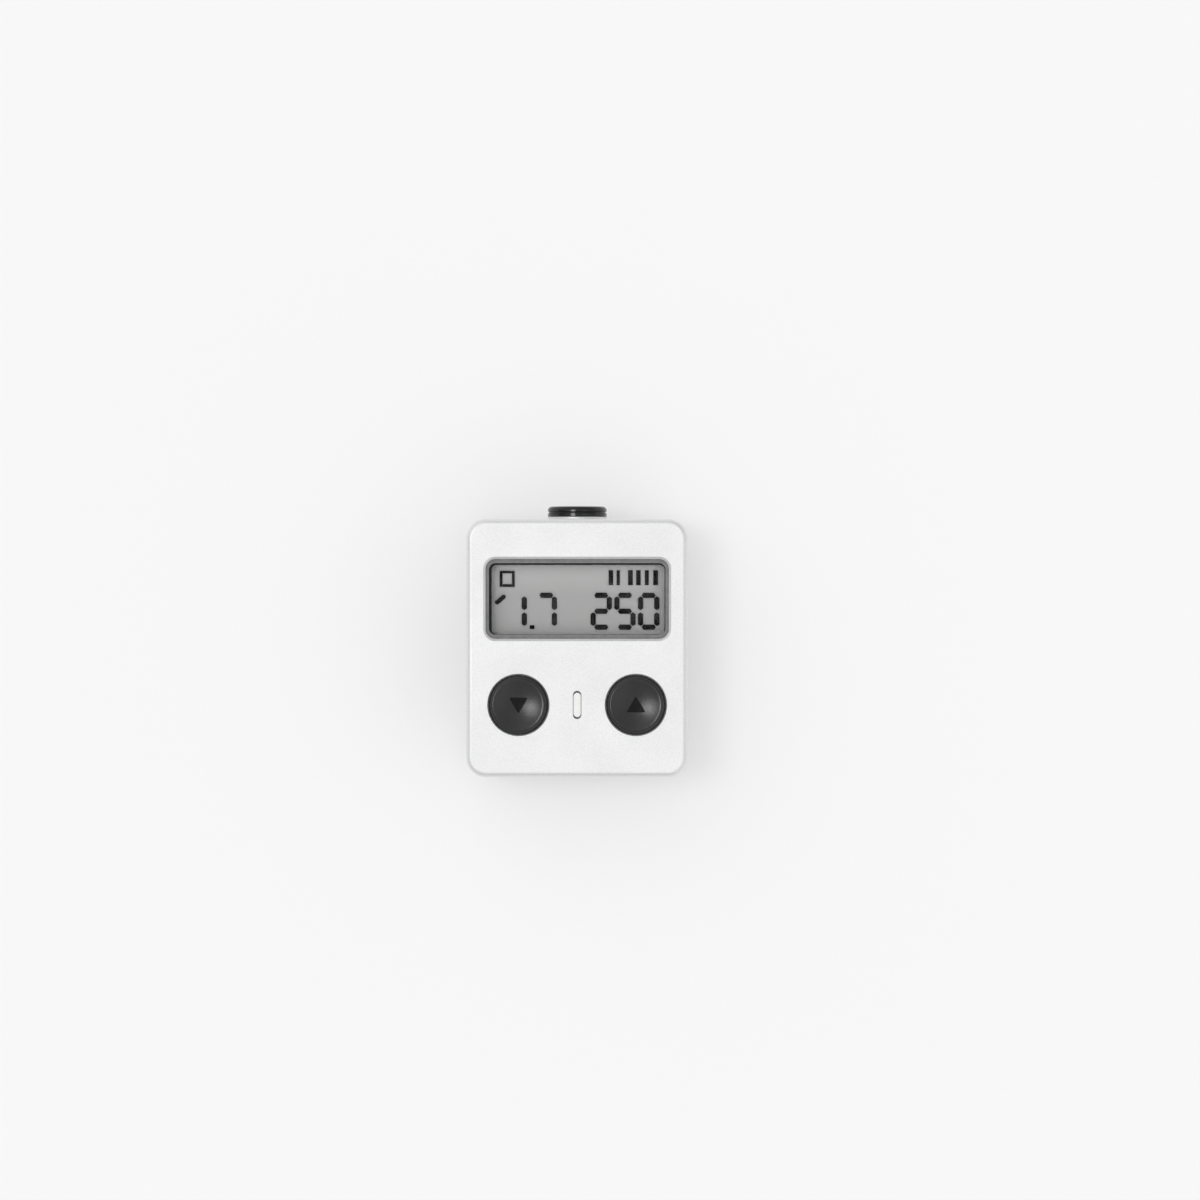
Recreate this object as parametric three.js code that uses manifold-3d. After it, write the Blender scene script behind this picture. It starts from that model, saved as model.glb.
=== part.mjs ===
// A digital exposure meter that slides into a camera's accessory shoe.
// Millimetres. +Z is up, out of the shoe. +Y is forward, to the subject. +X is the user's right.
// The origin is the centre of the underside of the foot.

import * as THREE from "three";
import { mergeVertices } from "three/addons/utils/BufferGeometryUtils.js";
import Module from "manifold-3d";

const wasm = await Module();
wasm.setup();

// Facets
const ROUND_STEPS = 40; // round a hole, button or bezel that shows
const SMALL_ROUND_STEPS = 16; // round a screw or an inner piece
const CORNER_STEPS = 6; // round one corner of an outline
const EDGE_STEPS = 3; // over a rounded edge
const DISH_RING_SHARES = [0.8, 0.5, 0]; // of a button's dished radius
const DOME_RING_SHARES = [1, 0.8, 0.6, 0.4, 0.2, 0]; // of a domed piece's radius
const SAME_POINT_SHARE = 0.0001; // of an outline's width: points closer than this are one

// Clearances
const OVERRUN = 1; // how far a cutter runs past the face that it opens
const SLIP_GAP = 0.1; // between fixed pieces that drop into each other
const SCREW_GAP = 0.06; // round a screw in its hole
const BAY_GAP = 0.2; // between the housing's inside and what stands in it
const SLIDE_GAP = 0.15; // beside the battery tray
const TRAY_LIFT = 0.1; // under the battery tray

// Shoe foot: a flange that runs under the shoe's lips, and a neck that passes between them
const FOOT_WIDTH = 18.6;
const FOOT_LENGTH = 18;
const FOOT_THICKNESS = 1.95;
const FOOT_LEAD_IN = 1.2; // cut off its two front corners
const FOOT_REAR_CORNER = 0.4;
const FOOT_EDGE_CHAMFER = 0.15;
const NECK_WIDTH = 12.4;
const NECK_LENGTH = 15;
const NECK_HEIGHT = 2.1;
const NECK_CORNER_RADIUS = 0.6;
const FOOT_SCREW_SPACING_X = 7.6;
const FOOT_SCREW_SPACING_Y = 9.6;

// Housing: one milled shell, open below
const BODY_WIDTH = 29;
const BODY_DEPTH = 33.8;
const BODY_HEIGHT = 12.7;
const BODY_CORNER_RADIUS = 2.6;
const TOP_EDGE_RADIUS = 0.7;
const BOTTOM_EDGE_CHAMFER = 0.3;
const SIDE_WALL = 1.4;
const TOP_WALL = 1.4;
const CORNER_BOSS_RADIUS = 1.5;
const BOARD_BOSS_RADIUS = 1.25;
const BOARD_BOSS_BITE = 0.15; // how deep a side boss reaches into the wall beside it
const BOARD_BOSS_REAR_INSET = 1.9; // from the rear wall's inside to the rear boss's centre

// Base plate: closes the housing and carries the foot
const PLATE_THICKNESS = 1.5;
const PLATE_REBATE = 0.6; // how far the plate runs under the housing's wall

// Countersunk screws, the same thread for the plate and the foot
const SCREW_SHANK_RADIUS = 0.8;
const SCREW_HEAD_RADIUS = 1.45;
const SCREW_HEAD_RIM = 0.15;
const SCREW_SUNK = 0.08; // the head lies this far under the face
const SCREW_DRIVE_WIDTH = 0.34;
const SCREW_DRIVE_SPAN = 1.6;
const SCREW_DRIVE_DEPTH = 0.5;
const PLATE_SCREW_BITE = 3; // thread in a corner boss
const FOOT_SCREW_SHORTFALL = 0.15; // the foot's screws stop this far below the plate's inner face
const SCREW_HOLE_SPARE = 0.4; // beyond the tip of a screw in a blind hole

// Pan-head screws that hold the circuit board up against its bosses
const BOARD_SCREW_SHANK_RADIUS = 0.6;
const BOARD_SCREW_HEAD_RADIUS = 1.15;
const BOARD_SCREW_HEAD_HEIGHT = 0.55;
const BOARD_SCREW_BITE = 2.2;

// Display: pane, gasket and liquid-crystal cell
const WINDOW_FRONT_MARGIN = 5.23; // from the body's front face
const WINDOW_REAR_MARGIN = 18.11; // from the body's rear face
const WINDOW_CORNER_RADIUS = 1.3;
const WINDOW_CHAMFER = 0.3;
const WINDOW_LIP = 0.7; // metal above the gasket
const GASKET_THICKNESS = 0.2;
const GASKET_SHOWS = 0.45; // black border seen inside the window
const PANE_THICKNESS = 0.8;
const PANE_MARGIN = 0.6; // hidden under the lip
const DISPLAY_AIR_GAP = 0.2;
const FILM_THICKNESS = 0.2; // polariser and reflector
const FILM_INSET = 0.25; // the films are a little smaller than the glass
const GLASS_THICKNESS = 0.7;
const GLASS_BORDER = 0.3; // glass beyond the window's edge
const CONTACT_LEDGE = 1.4; // the front glass runs past the rear one here
const ZEBRA_WIDTH = 1.2;
const ZEBRA_END_INSET = 0.8;
const HOLDER_WALL = 0.5;
const HOLDER_SHELF = 0.6;
const HOLDER_CORNER_RADIUS = 0.8;

// Buttons and their switches
const BUTTON_INNER_ROOM_SHARE = 0.692; // of the free room beside a button, this much is on its inner side
const BUTTON_REAR_MARGIN = 9.47; // from the body's rear face to the centres
const BUTTON_HOLE_RADIUS = 3.93;
const BUTTON_HOLE_CHAMFER = 0.15;
const BUTTON_GAP = 0.25;
const BUTTON_PROUD = 0.6;
const BUTTON_EDGE_RADIUS = 0.4;
const BUTTON_DISH = 0.12;
const BUTTON_FLANGE_OVERLAP = 0.5; // flange beyond the hole, which keeps the button in
const BUTTON_FLANGE_THICKNESS = 0.7;
const BUTTON_REST_GAP = 0.05; // between the flange and the ceiling
const BUTTON_NUB_RADIUS = 1.1;
const SWITCH_SIZE = 4.5;
const SWITCH_HEIGHT = 1.8;
const SWITCH_FLOOR = 0.35;
const SWITCH_COVER = 0.25;
const SWITCH_CORNER_RADIUS = 0.5;
const PLUNGER_RADIUS = 1;
const PLUNGER_FLANGE_RADIUS = 1.35;
const PLUNGER_STAND = 0.6; // above the switch
const PLUNGER_GAP = 0.12; // round the plunger and its flange
const PLUNGER_REST_GAP = 0.05; // under the switch's cover
const DOME_HEIGHT = 0.45;
const DOME_SHEET = 0.12;

// Status light: a clouded bar in a slot between the buttons
const SLOT_WIDTH = 1.05;
const SLOT_LENGTH = 3.66;
const LIGHT_BAR_GAP = 0.07;
const LIGHT_BAR_SUNK = 0.06; // below the top face
const LIGHT_BAR_FLANGE = 0.6; // beyond the bar on each side
const LIGHT_BAR_FLANGE_THICKNESS = 0.6;
const LED_LENGTH = 1.6;
const LED_WIDTH = 0.8;
const LED_HEIGHT = 0.6;
const LED_GAP = 0.3; // between the diode and the bar

// Light sensor in the front face
const BEZEL_FLANGE = 0.48; // beyond the barrel, outside the housing
const BEZEL_PROUD = 1.7;
const BEZEL_EDGE_RADIUS = 0.5;
const BEZEL_LIP = 0.8; // metal in front of the diffuser's shoulder
const BEZEL_GROOVE_DEPTH = 0.15;
const BEZEL_GROOVE_WIDTH = 0.25;
const BARREL_WALL = 0.4;
const BARREL_GAP = 0.08;
const BARREL_TAIL = 0.3; // beyond the ring nut
const APERTURE_RADIUS = 2.5;
const APERTURE_CHAMFER = 0.4;
const DIFFUSER_SHOULDER = 0.4; // beyond the aperture
const DIFFUSER_THICKNESS = 1;
const DIFFUSER_DOME_RISE = 0.5;
const DIFFUSER_RING_WIDTH = 0.7;
const DIFFUSER_RING_THICKNESS = 1.2;
const NUT_WALL = 0.85;
const NUT_THICKNESS = 1;
const NUT_NOTCH_WIDTH = 1;
const NUT_NOTCH_DEPTH = 0.5;
const PHOTODIODE_SIZE = 3.4;
const PHOTODIODE_THICKNESS = 1.1;
const SENSOR_BOARD_WIDTH = 9.2;
const SENSOR_BOARD_HEIGHT = 7.8;
const SENSOR_BOARD_THICKNESS = 0.8;
const SENSOR_BOARD_CORNER = 0.5;
const HEADER_WIDTH = 7.2;
const HEADER_DEPTH = 0.75;
const HEADER_HEIGHT = 1.4;
const HEADER_GAP = 0.25; // between the sensor's board and what stands behind it
const PIN_SIZE = 0.5;
const PIN_SPACING = 5.08; // one pin on each side of the photodiode
const PIN_HOLE_RADIUS = 0.45;

// Circuit board
const BOARD_THICKNESS = 1;
const BOARD_CORNER_RADIUS = 0.5;
const CHIP_SIZE = 4;
const CHIP_HEIGHT = 0.9;
const CRYSTAL_RADIUS = 0.75;
const CRYSTAL_LENGTH = 5;
const CAPACITOR_LENGTH = 3.2;
const CAPACITOR_WIDTH = 1.6;
const CAPACITOR_HEIGHT = 1.6;
const PART_TO_WALL = 0.4; // from the rear wall to the parts soldered beside it

// Coin cell, its tray and the contacts
const CELL_RADIUS = 8;
const CELL_THICKNESS = 3.2;
const CELL_EDGE_RADIUS = 0.3;
const CELL_RIM_WIDTH = 1.1; // the can's rim and the seal, round the cap
const CELL_CAP_RISE = 0.3;
const CELL_CRIMP = 0.4; // the can's rim is drawn in by this
const POCKET_GAP = 0.15; // round the cell
const TRAY_FLOOR = 0.5;
const TRAY_ARM_WALL = 0.4; // at the arm's thinnest, beside the cell
const TRAY_ARM_ROOT = 0.4; // behind the cap
const TRAY_ARM_GRIP = 1.5; // the arms' ends reach in by this from the cell's sides
const TRAY_ARM_TAIL = 1.35; // past the cell's far rim
const TRAY_ARM_DROP = 0.3; // the arms stop below the cell's top
const TRAY_FLOOR_RIM = 3; // floor left under the cell's edge, round the hole that it is pushed out by
const TRAY_CAP_CORNER = 0.45;
const NICK_LENGTH = 7;
const NICK_HEIGHT = 1.1;
const NICK_DEPTH = 0.7;
const CONTACT_SPACE = 0.4; // over the cell
const GUIDE_ROOF = 0.6;
const GUIDE_WALL = 0.8;
const GUIDE_END_GAP = 0.2;
const GUIDE_ROOF_STRIP = 2.4; // roof left along each rail, beside its opening
const GUIDE_WINDOW_LEFT = 5.5; // the roof's opening starts this far left of the cell's centre
const CONTACT_SHEET = 0.2;
const CONTACT_WIDTH = 4;
const CONTACT_TOUCH_GAP = 0.1;
const POSITIVE_FOOT_LENGTH = 2.2;
const POSITIVE_TIP_LIFT = 0.8; // above the cell's lower face
const NEGATIVE_FOOT_START = 4; // the negative leaf's places, from the cell's centre
const NEGATIVE_FOOT_END = 2;
const NEGATIVE_TOUCH = 1.5;
const NEGATIVE_TIP = 3;
const NEGATIVE_TIP_RISE = 0.3;

// Levels, from the foot up
const bodyBottom = FOOT_THICKNESS + NECK_HEIGHT;
const plateTop = bodyBottom + PLATE_THICKNESS;
const trayBottom = plateTop + TRAY_LIFT;
const cellBottom = trayBottom + TRAY_FLOOR;
const cellTop = cellBottom + CELL_THICKNESS;
const roofBottom = cellTop + CONTACT_SPACE;
const boardBottom = roofBottom + GUIDE_ROOF;
const boardTop = boardBottom + BOARD_THICKNESS;

// Levels, from the top down: the zebra strip takes up what is left between glass and board
const bodyTop = bodyBottom + BODY_HEIGHT;
const ceiling = bodyTop - TOP_WALL;
const windowLedge = bodyTop - WINDOW_LIP;
const paneTop = windowLedge - GASKET_THICKNESS;
const paneBottom = paneTop - PANE_THICKNESS;
const polariserBottom = paneBottom - DISPLAY_AIR_GAP - FILM_THICKNESS;
const frontGlassBottom = polariserBottom - GLASS_THICKNESS;
const zebraHeight = frontGlassBottom - boardTop;
const shelfTop = frontGlassBottom - GLASS_THICKNESS - FILM_THICKNESS;
const sensorHeight = (bodyBottom + bodyTop) / 2;

// Places in plan
const roomHalfWidth = BODY_WIDTH / 2 - SIDE_WALL;
const roomHalfDepth = BODY_DEPTH / 2 - SIDE_WALL;
const holderWidth = 2 * (roomHalfWidth - BAY_GAP);
const glassWidth = holderWidth - 2 * (HOLDER_WALL + SLIP_GAP);
const windowWidth = glassWidth - 2 * GLASS_BORDER;
const windowFront = BODY_DEPTH / 2 - WINDOW_FRONT_MARGIN;
const windowDepth = BODY_DEPTH - WINDOW_FRONT_MARGIN - WINDOW_REAR_MARGIN;
const windowY = windowFront - windowDepth / 2;
const glassFront = windowFront + GLASS_BORDER;
const rearGlassRear = windowFront - windowDepth - GLASS_BORDER;
const frontGlassRear = rearGlassRear - CONTACT_LEDGE;
const holderFront = glassFront + SLIP_GAP + HOLDER_WALL;
const holderRear = frontGlassRear - SLIP_GAP - HOLDER_WALL;
const lightBarWidth = SLOT_WIDTH - 2 * LIGHT_BAR_GAP;
const lightBarFlangeWidth = lightBarWidth + 2 * LIGHT_BAR_FLANGE;
const buttonFlangeRadius = BUTTON_HOLE_RADIUS + BUTTON_FLANGE_OVERLAP;
const buttonRoom = roomHalfWidth - lightBarFlangeWidth / 2 - 2 * buttonFlangeRadius;
const buttonX = lightBarFlangeWidth / 2 + buttonFlangeRadius + buttonRoom * BUTTON_INNER_ROOM_SHARE;
const buttonY = BUTTON_REAR_MARGIN - BODY_DEPTH / 2;
const cornerX = BODY_WIDTH / 2 - BODY_CORNER_RADIUS;
const cornerY = BODY_DEPTH / 2 - BODY_CORNER_RADIUS;
const sideBossX = roomHalfWidth + BOARD_BOSS_BITE - BOARD_BOSS_RADIUS;
const sideBossY = holderRear - BAY_GAP - BOARD_BOSS_RADIUS;
const rearBossY = BOARD_BOSS_REAR_INSET - roomHalfDepth;
const frontFace = BODY_DEPTH / 2;
const diffuserRadius = APERTURE_RADIUS + DIFFUSER_SHOULDER;
const barrelBore = diffuserRadius + SLIP_GAP;
const barrelRadius = barrelBore + BARREL_WALL;
const bezelRadius = barrelRadius + BEZEL_FLANGE;
const barrelEnd = frontFace - SIDE_WALL - NUT_THICKNESS - BARREL_TAIL;
const sensorBoardRear = barrelEnd - SENSOR_BOARD_THICKNESS;
const boardFront = sensorBoardRear - HEADER_GAP;
const boardRear = BAY_GAP - roomHalfDepth;
const trayHalfWidth = CELL_RADIUS + POCKET_GAP + TRAY_ARM_WALL;
const cellX = TRAY_ARM_ROOT + POCKET_GAP + CELL_RADIUS - roomHalfWidth;
const cellRim = cellX + CELL_RADIUS;
const trayEnd = cellRim + TRAY_ARM_TAIL;
const railInner = trayHalfWidth + SLIDE_GAP;
const guideLeft = SLIP_GAP - roomHalfWidth;
const guideRight = roomHalfWidth - SLIP_GAP;
const guideEnd = trayEnd + GUIDE_END_GAP;

// Finishes
const finishes = {
  silver: { color: 0xe4e4e6, roughness: 0.45, metalness: 0.6 },
  foot: { color: 0xb9babd, roughness: 0.4, metalness: 0.8 },
  steel: { color: 0x9a9c9f, roughness: 0.35, metalness: 0.9 },
  bezel: { color: 0x17181a, roughness: 0.3, metalness: 0.4 },
  button: { color: 0x3c3d3f, roughness: 0.5, metalness: 0 },
  blackPlastic: { color: 0x1c1d1f, roughness: 0.6, metalness: 0 },
  gasket: { color: 0x141414, roughness: 0.8, metalness: 0 },
  pane: { color: 0xdfe4e6, roughness: 0.08, metalness: 0, transparent: true, opacity: 0.3 },
  glass: { color: 0xb4b8b4, roughness: 0.1, metalness: 0, transparent: true, opacity: 0.4 },
  film: { color: 0xa4a6a2, roughness: 0.5, metalness: 0 },
  rubber: { color: 0x6c6c6e, roughness: 0.9, metalness: 0 },
  clouded: { color: 0xf2f2f0, roughness: 0.35, metalness: 0 },
  laminate: { color: 0x23543a, roughness: 0.5, metalness: 0 },
  chip: { color: 0x202124, roughness: 0.6, metalness: 0 },
  ceramic: { color: 0xa8875e, roughness: 0.6, metalness: 0 },
  spring: { color: 0xc8b98a, roughness: 0.3, metalness: 0.9 },
  cell: { color: 0xc9cacc, roughness: 0.25, metalness: 0.95 },
};

const materials = Object.fromEntries(
  Object.entries(finishes).map(([name, finish]) => [name, new THREE.MeshStandardMaterial(finish)]),
);

// A closed three.js geometry as a solid that can be joined and cut.
function solid(geometry) {
  const bare = new THREE.BufferGeometry()
    .setAttribute("position", geometry.getAttribute("position"))
    .setIndex(geometry.getIndex());
  const merged = mergeVertices(bare);
  const corners = merged.getIndex().array;
  const triangles = [];
  for (let i = 0; i < corners.length; i += 3) {
    const [a, b, c] = corners.slice(i, i + 3);
    if (a !== b && b !== c && c !== a) triangles.push(a, b, c);
  }
  const mesh = new wasm.Mesh({
    numProp: 3,
    vertProperties: new Float32Array(merged.getAttribute("position").array),
    triVerts: new Uint32Array(triangles),
  });
  return new wasm.Manifold(mesh);
}

// A solid as a flat-shaded geometry again.
function geometryOf(body) {
  const { numProp, vertProperties, triVerts } = body.getMesh();
  const positions = new Float32Array(triVerts.length * 3);
  triVerts.forEach((vertex, i) => {
    positions.set(vertProperties.subarray(vertex * numProp, vertex * numProp + 3), i * 3);
  });
  const geometry = new THREE.BufferGeometry();
  geometry.setAttribute("position", new THREE.BufferAttribute(positions, 3));
  geometry.computeVertexNormals();
  return geometry;
}

function piece(name, body, finish, x = 0, y = 0, z = 0) {
  const mesh = new THREE.Mesh(geometryOf(body), materials[finish]);
  mesh.name = name;
  mesh.position.set(x, y, z);
  return mesh;
}

function cut(body, tools) {
  return tools.reduce((left, tool) => left.subtract(tool), body);
}

function join(bodies) {
  return bodies.reduce((whole, body) => whole.add(body));
}

// The outline of a rectangle with round corners, anticlockwise round zero. A radius of half its width makes
// a bar with round ends.
function roundedOutline(width, depth, radius) {
  const points = [];
  const corners = [[1, 1], [-1, 1], [-1, -1], [1, -1]];
  corners.forEach(([sideX, sideY], quarter) => {
    for (let step = 0; step <= CORNER_STEPS; step++) {
      const angle = ((quarter + step / CORNER_STEPS) * Math.PI) / 2;
      points.push(new THREE.Vector2(
        sideX * (width / 2 - radius) + radius * Math.cos(angle),
        sideY * (depth / 2 - radius) + radius * Math.sin(angle),
      ));
    }
  });
  const closeness = Math.min(width, depth) * SAME_POINT_SHARE;
  return points.filter((point, i) => point.distanceTo(points.at(i - 1)) > closeness);
}

function extrusion(outline, depth) {
  return new THREE.ExtrudeGeometry(new THREE.Shape(outline), { depth, bevelEnabled: false });
}

function prism(outline, bottom, height, x = 0, y = 0) {
  return solid(extrusion(outline, height).translate(x, y, bottom));
}

// A prism whose outline is drawn in Y and Z and runs along X.
function prismAlongX(outline, start, length, y, z) {
  const turn = new THREE.Matrix4().set(0, 0, 1, 0, 1, 0, 0, 0, 0, 1, 0, 0, 0, 0, 0, 1);
  return solid(extrusion(outline, length).applyMatrix4(turn).translate(start, y, z));
}

// A prism whose outline is drawn in X and Z and runs along Y, half of it each way from y.
function prismAlongY(outline, length, x, y, z) {
  return solid(extrusion(outline, length).rotateX(Math.PI / 2).translate(x, y + length / 2, z));
}

function block(width, depth, height, x, y, bottom) {
  return solid(new THREE.BoxGeometry(width, depth, height).translate(x, y, bottom + height / 2));
}

function cylinder(radius, bottom, height, x = 0, y = 0, steps = ROUND_STEPS) {
  const geometry = new THREE.CylinderGeometry(radius, radius, height, steps);
  return solid(geometry.rotateX(Math.PI / 2).translate(x, y, bottom + height / 2));
}

// A body turned about Z, from [radius, height] pairs that start on the axis below and end on it above.
function turned(profile, steps = ROUND_STEPS) {
  const points = profile.map(([radius, height]) => new THREE.Vector2(radius, height));
  return solid(new THREE.LatheGeometry(points, steps).rotateX(Math.PI / 2));
}

// A body turned about Y, from [radius, y] pairs that start and end on the axis or close on themselves.
function turnedAboutY(profile, steps = ROUND_STEPS) {
  const points = profile.map(([radius, y]) => new THREE.Vector2(radius, y));
  return solid(new THREE.LatheGeometry(points, steps));
}

// A skin over flat rings, one above another. Each ring is convex and has as many points as the next.
function loft(rings) {
  const count = rings[0].length;
  const positions = rings.flat().flatMap((point) => point.toArray());
  const faces = [];
  for (let ring = 0; ring + 1 < rings.length; ring++) {
    for (let i = 0; i < count; i++) {
      const next = (i + 1) % count;
      const [a, b] = [ring * count + i, ring * count + next];
      faces.push(a, b, b + count, a, b + count, a + count);
    }
  }
  const top = (rings.length - 1) * count;
  for (let i = 1; i + 1 < count; i++) {
    faces.push(0, i + 1, i, top, top + i, top + i + 1);
  }
  const geometry = new THREE.BufferGeometry();
  geometry.setAttribute("position", new THREE.Float32BufferAttribute(positions, 3));
  return solid(geometry.setIndex(faces));
}

// A rounded rectangle that is drawn in by an inset, or swells by a negative one, from level to level.
function steppedBlock(width, depth, radius, levels, x = 0, y = 0) {
  return loft(levels.map(([z, inset]) =>
    roundedOutline(width - 2 * inset, depth - 2 * inset, radius - inset)
      .map((point) => new THREE.Vector3(point.x + x, point.y + y, z))));
}

// Points on a quarter circle, from [1, 0] to [0, 1].
function quarterArc(steps = EDGE_STEPS) {
  return Array.from({ length: steps + 1 }, (_, i) => {
    const angle = (i / steps) * (Math.PI / 2);
    return [Math.cos(angle), Math.sin(angle)];
  });
}

// A sheet-metal strip along a line in X and Z, with square ends and mitred bends, pressed from flat sheet.
function bentStrip(line, sheet, width) {
  const corners = line.map(([x, z]) => new THREE.Vector2(x, z));
  const along = (i) => corners[i + 1].clone().sub(corners[i]).normalize();
  const side = corners.map((_, i) => {
    const before = along(Math.max(i - 1, 0));
    const after = along(Math.min(i, corners.length - 2));
    const mitre = before.clone().add(after).normalize();
    const reach = sheet / 2 / mitre.dot(after);
    return new THREE.Vector2(-mitre.y, mitre.x).multiplyScalar(reach);
  });
  const edge = (sign) => corners.map((corner, i) => corner.clone().addScaledVector(side[i], sign));
  return prismAlongY([...edge(-1), ...edge(1).reverse()], width, 0, 0, 0);
}

// The profile of a countersunk screw with its head down, or with a gap added, of the hole that takes it.
function countersunkProfile(start, tip, gap) {
  const head = SCREW_HEAD_RADIUS + gap;
  const shank = SCREW_SHANK_RADIUS + gap;
  const rimTop = SCREW_SUNK + SCREW_HEAD_RIM;
  return [
    [0, start],
    [head, start],
    [head, rimTop],
    [shank, rimTop + SCREW_HEAD_RADIUS - SCREW_SHANK_RADIUS],
    [shank, tip],
    [0, tip],
  ];
}

function countersunkScrew(length) {
  const body = turned(countersunkProfile(SCREW_SUNK, length, 0), SMALL_ROUND_STEPS);
  const depth = SCREW_DRIVE_DEPTH + OVERRUN;
  const bottom = SCREW_SUNK - OVERRUN;
  return cut(body, [
    block(SCREW_DRIVE_SPAN, SCREW_DRIVE_WIDTH, depth, 0, 0, bottom),
    block(SCREW_DRIVE_WIDTH, SCREW_DRIVE_SPAN, depth, 0, 0, bottom),
  ]);
}

function countersunkHole(length, x, y, face) {
  return turned(countersunkProfile(-OVERRUN, length, SCREW_GAP), SMALL_ROUND_STEPS).translate([x, y, face]);
}

const quarters = [
  ["front_left", -1, 1],
  ["front_right", 1, 1],
  ["rear_left", -1, -1],
  ["rear_right", 1, -1],
];

const footScrewPlaces = quarters.map(([name, sideX, sideY]) =>
  [name, (sideX * FOOT_SCREW_SPACING_X) / 2, (sideY * FOOT_SCREW_SPACING_Y) / 2]);
const plateScrewPlaces = quarters.map(([name, sideX, sideY]) => [name, sideX * cornerX, sideY * cornerY]);
const boardScrewPlaces = [
  ["left", -sideBossX, sideBossY],
  ["right", sideBossX, sideBossY],
  ["rear", 0, rearBossY],
];
const footScrewLength = plateTop - FOOT_SCREW_SHORTFALL;
const plateScrewLength = PLATE_THICKNESS + PLATE_SCREW_BITE;

// Shoe foot
function makeFoot() {
  const [halfWidth, halfLength] = [FOOT_WIDTH / 2, FOOT_LENGTH / 2];
  const outline = [
    [halfWidth - FOOT_REAR_CORNER, -halfLength],
    [halfWidth, FOOT_REAR_CORNER - halfLength],
    [halfWidth, halfLength - FOOT_LEAD_IN],
    [halfWidth - FOOT_LEAD_IN, halfLength],
    [FOOT_LEAD_IN - halfWidth, halfLength],
    [-halfWidth, halfLength - FOOT_LEAD_IN],
    [-halfWidth, FOOT_REAR_CORNER - halfLength],
    [FOOT_REAR_CORNER - halfWidth, -halfLength],
  ].map(([x, y]) => new THREE.Vector2(x, y));
  const flange = new THREE.ExtrudeGeometry(new THREE.Shape(outline), {
    depth: FOOT_THICKNESS - 2 * FOOT_EDGE_CHAMFER,
    bevelThickness: FOOT_EDGE_CHAMFER,
    bevelSize: FOOT_EDGE_CHAMFER,
    bevelOffset: -FOOT_EDGE_CHAMFER,
    bevelSegments: 1,
  }).translate(0, 0, FOOT_EDGE_CHAMFER);
  const neckBottom = FOOT_THICKNESS / 2; // buried in the flange
  const neckOutline = roundedOutline(NECK_WIDTH, NECK_LENGTH, NECK_CORNER_RADIUS);
  const neck = prism(neckOutline, neckBottom, bodyBottom - neckBottom);
  const holes = footScrewPlaces.map(([, x, y]) => countersunkHole(bodyBottom + OVERRUN, x, y, 0));
  return cut(join([solid(flange), neck]), holes);
}

// Base plate
function makeBasePlate() {
  const width = 2 * (roomHalfWidth + PLATE_REBATE - SLIP_GAP);
  const depth = 2 * (roomHalfDepth + PLATE_REBATE - SLIP_GAP);
  const radius = BODY_CORNER_RADIUS - SIDE_WALL + PLATE_REBATE - SLIP_GAP;
  const plate = prism(roundedOutline(width, depth, radius), bodyBottom, PLATE_THICKNESS);
  const through = PLATE_THICKNESS + 2 * OVERRUN;
  const tapped = footScrewPlaces.map(([, x, y]) =>
    cylinder(SCREW_SHANK_RADIUS + SCREW_GAP, bodyBottom - OVERRUN, through, x, y, SMALL_ROUND_STEPS));
  const sunk = plateScrewPlaces.map(([, x, y]) =>
    countersunkHole(PLATE_THICKNESS + OVERRUN, x, y, bodyBottom));
  return cut(plate, [...tapped, ...sunk]);
}

// Housing
function housingBlank() {
  const side = [
    [bodyBottom, BOTTOM_EDGE_CHAMFER],
    [bodyBottom + BOTTOM_EDGE_CHAMFER, 0],
  ];
  const edge = quarterArc().map(([across, up]) => [
    bodyTop - TOP_EDGE_RADIUS + TOP_EDGE_RADIUS * up,
    TOP_EDGE_RADIUS * (1 - across),
  ]);
  return steppedBlock(BODY_WIDTH, BODY_DEPTH, BODY_CORNER_RADIUS, [...side, ...edge]);
}

function housingRoom() {
  const radius = BODY_CORNER_RADIUS - SIDE_WALL;
  const outline = roundedOutline(2 * roomHalfWidth, 2 * roomHalfDepth, radius);
  const rebate = roundedOutline(
    2 * (roomHalfWidth + PLATE_REBATE), 2 * (roomHalfDepth + PLATE_REBATE), radius + PLATE_REBATE);
  const bottom = bodyBottom - OVERRUN;
  return join([prism(outline, bottom, ceiling - bottom), prism(rebate, bottom, plateTop - bottom)]);
}

function windowCut() {
  const opening = steppedBlock(windowWidth, windowDepth, WINDOW_CORNER_RADIUS, [
    [ceiling - OVERRUN, 0],
    [bodyTop - WINDOW_CHAMFER, 0],
    [bodyTop + OVERRUN, -WINDOW_CHAMFER - OVERRUN],
  ], 0, windowY);
  const pocketBottom = ceiling - OVERRUN;
  const pocketOutline = windowOutline(PANE_MARGIN + SLIP_GAP, PANE_MARGIN);
  const pocket = prism(pocketOutline, pocketBottom, windowLedge - pocketBottom, 0, windowY);
  return join([opening, pocket]);
}

function buttonHole(x) {
  return turned([
    [0, ceiling - OVERRUN],
    [BUTTON_HOLE_RADIUS, ceiling - OVERRUN],
    [BUTTON_HOLE_RADIUS, bodyTop - BUTTON_HOLE_CHAMFER],
    [BUTTON_HOLE_RADIUS + BUTTON_HOLE_CHAMFER + OVERRUN, bodyTop + OVERRUN],
    [0, bodyTop + OVERRUN],
  ]).translate([x, buttonY, 0]);
}

function lightBarSlot() {
  const outline = roundedOutline(SLOT_WIDTH, SLOT_LENGTH, SLOT_WIDTH / 2);
  return prism(outline, ceiling - OVERRUN, TOP_WALL + 2 * OVERRUN, 0, buttonY);
}

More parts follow.
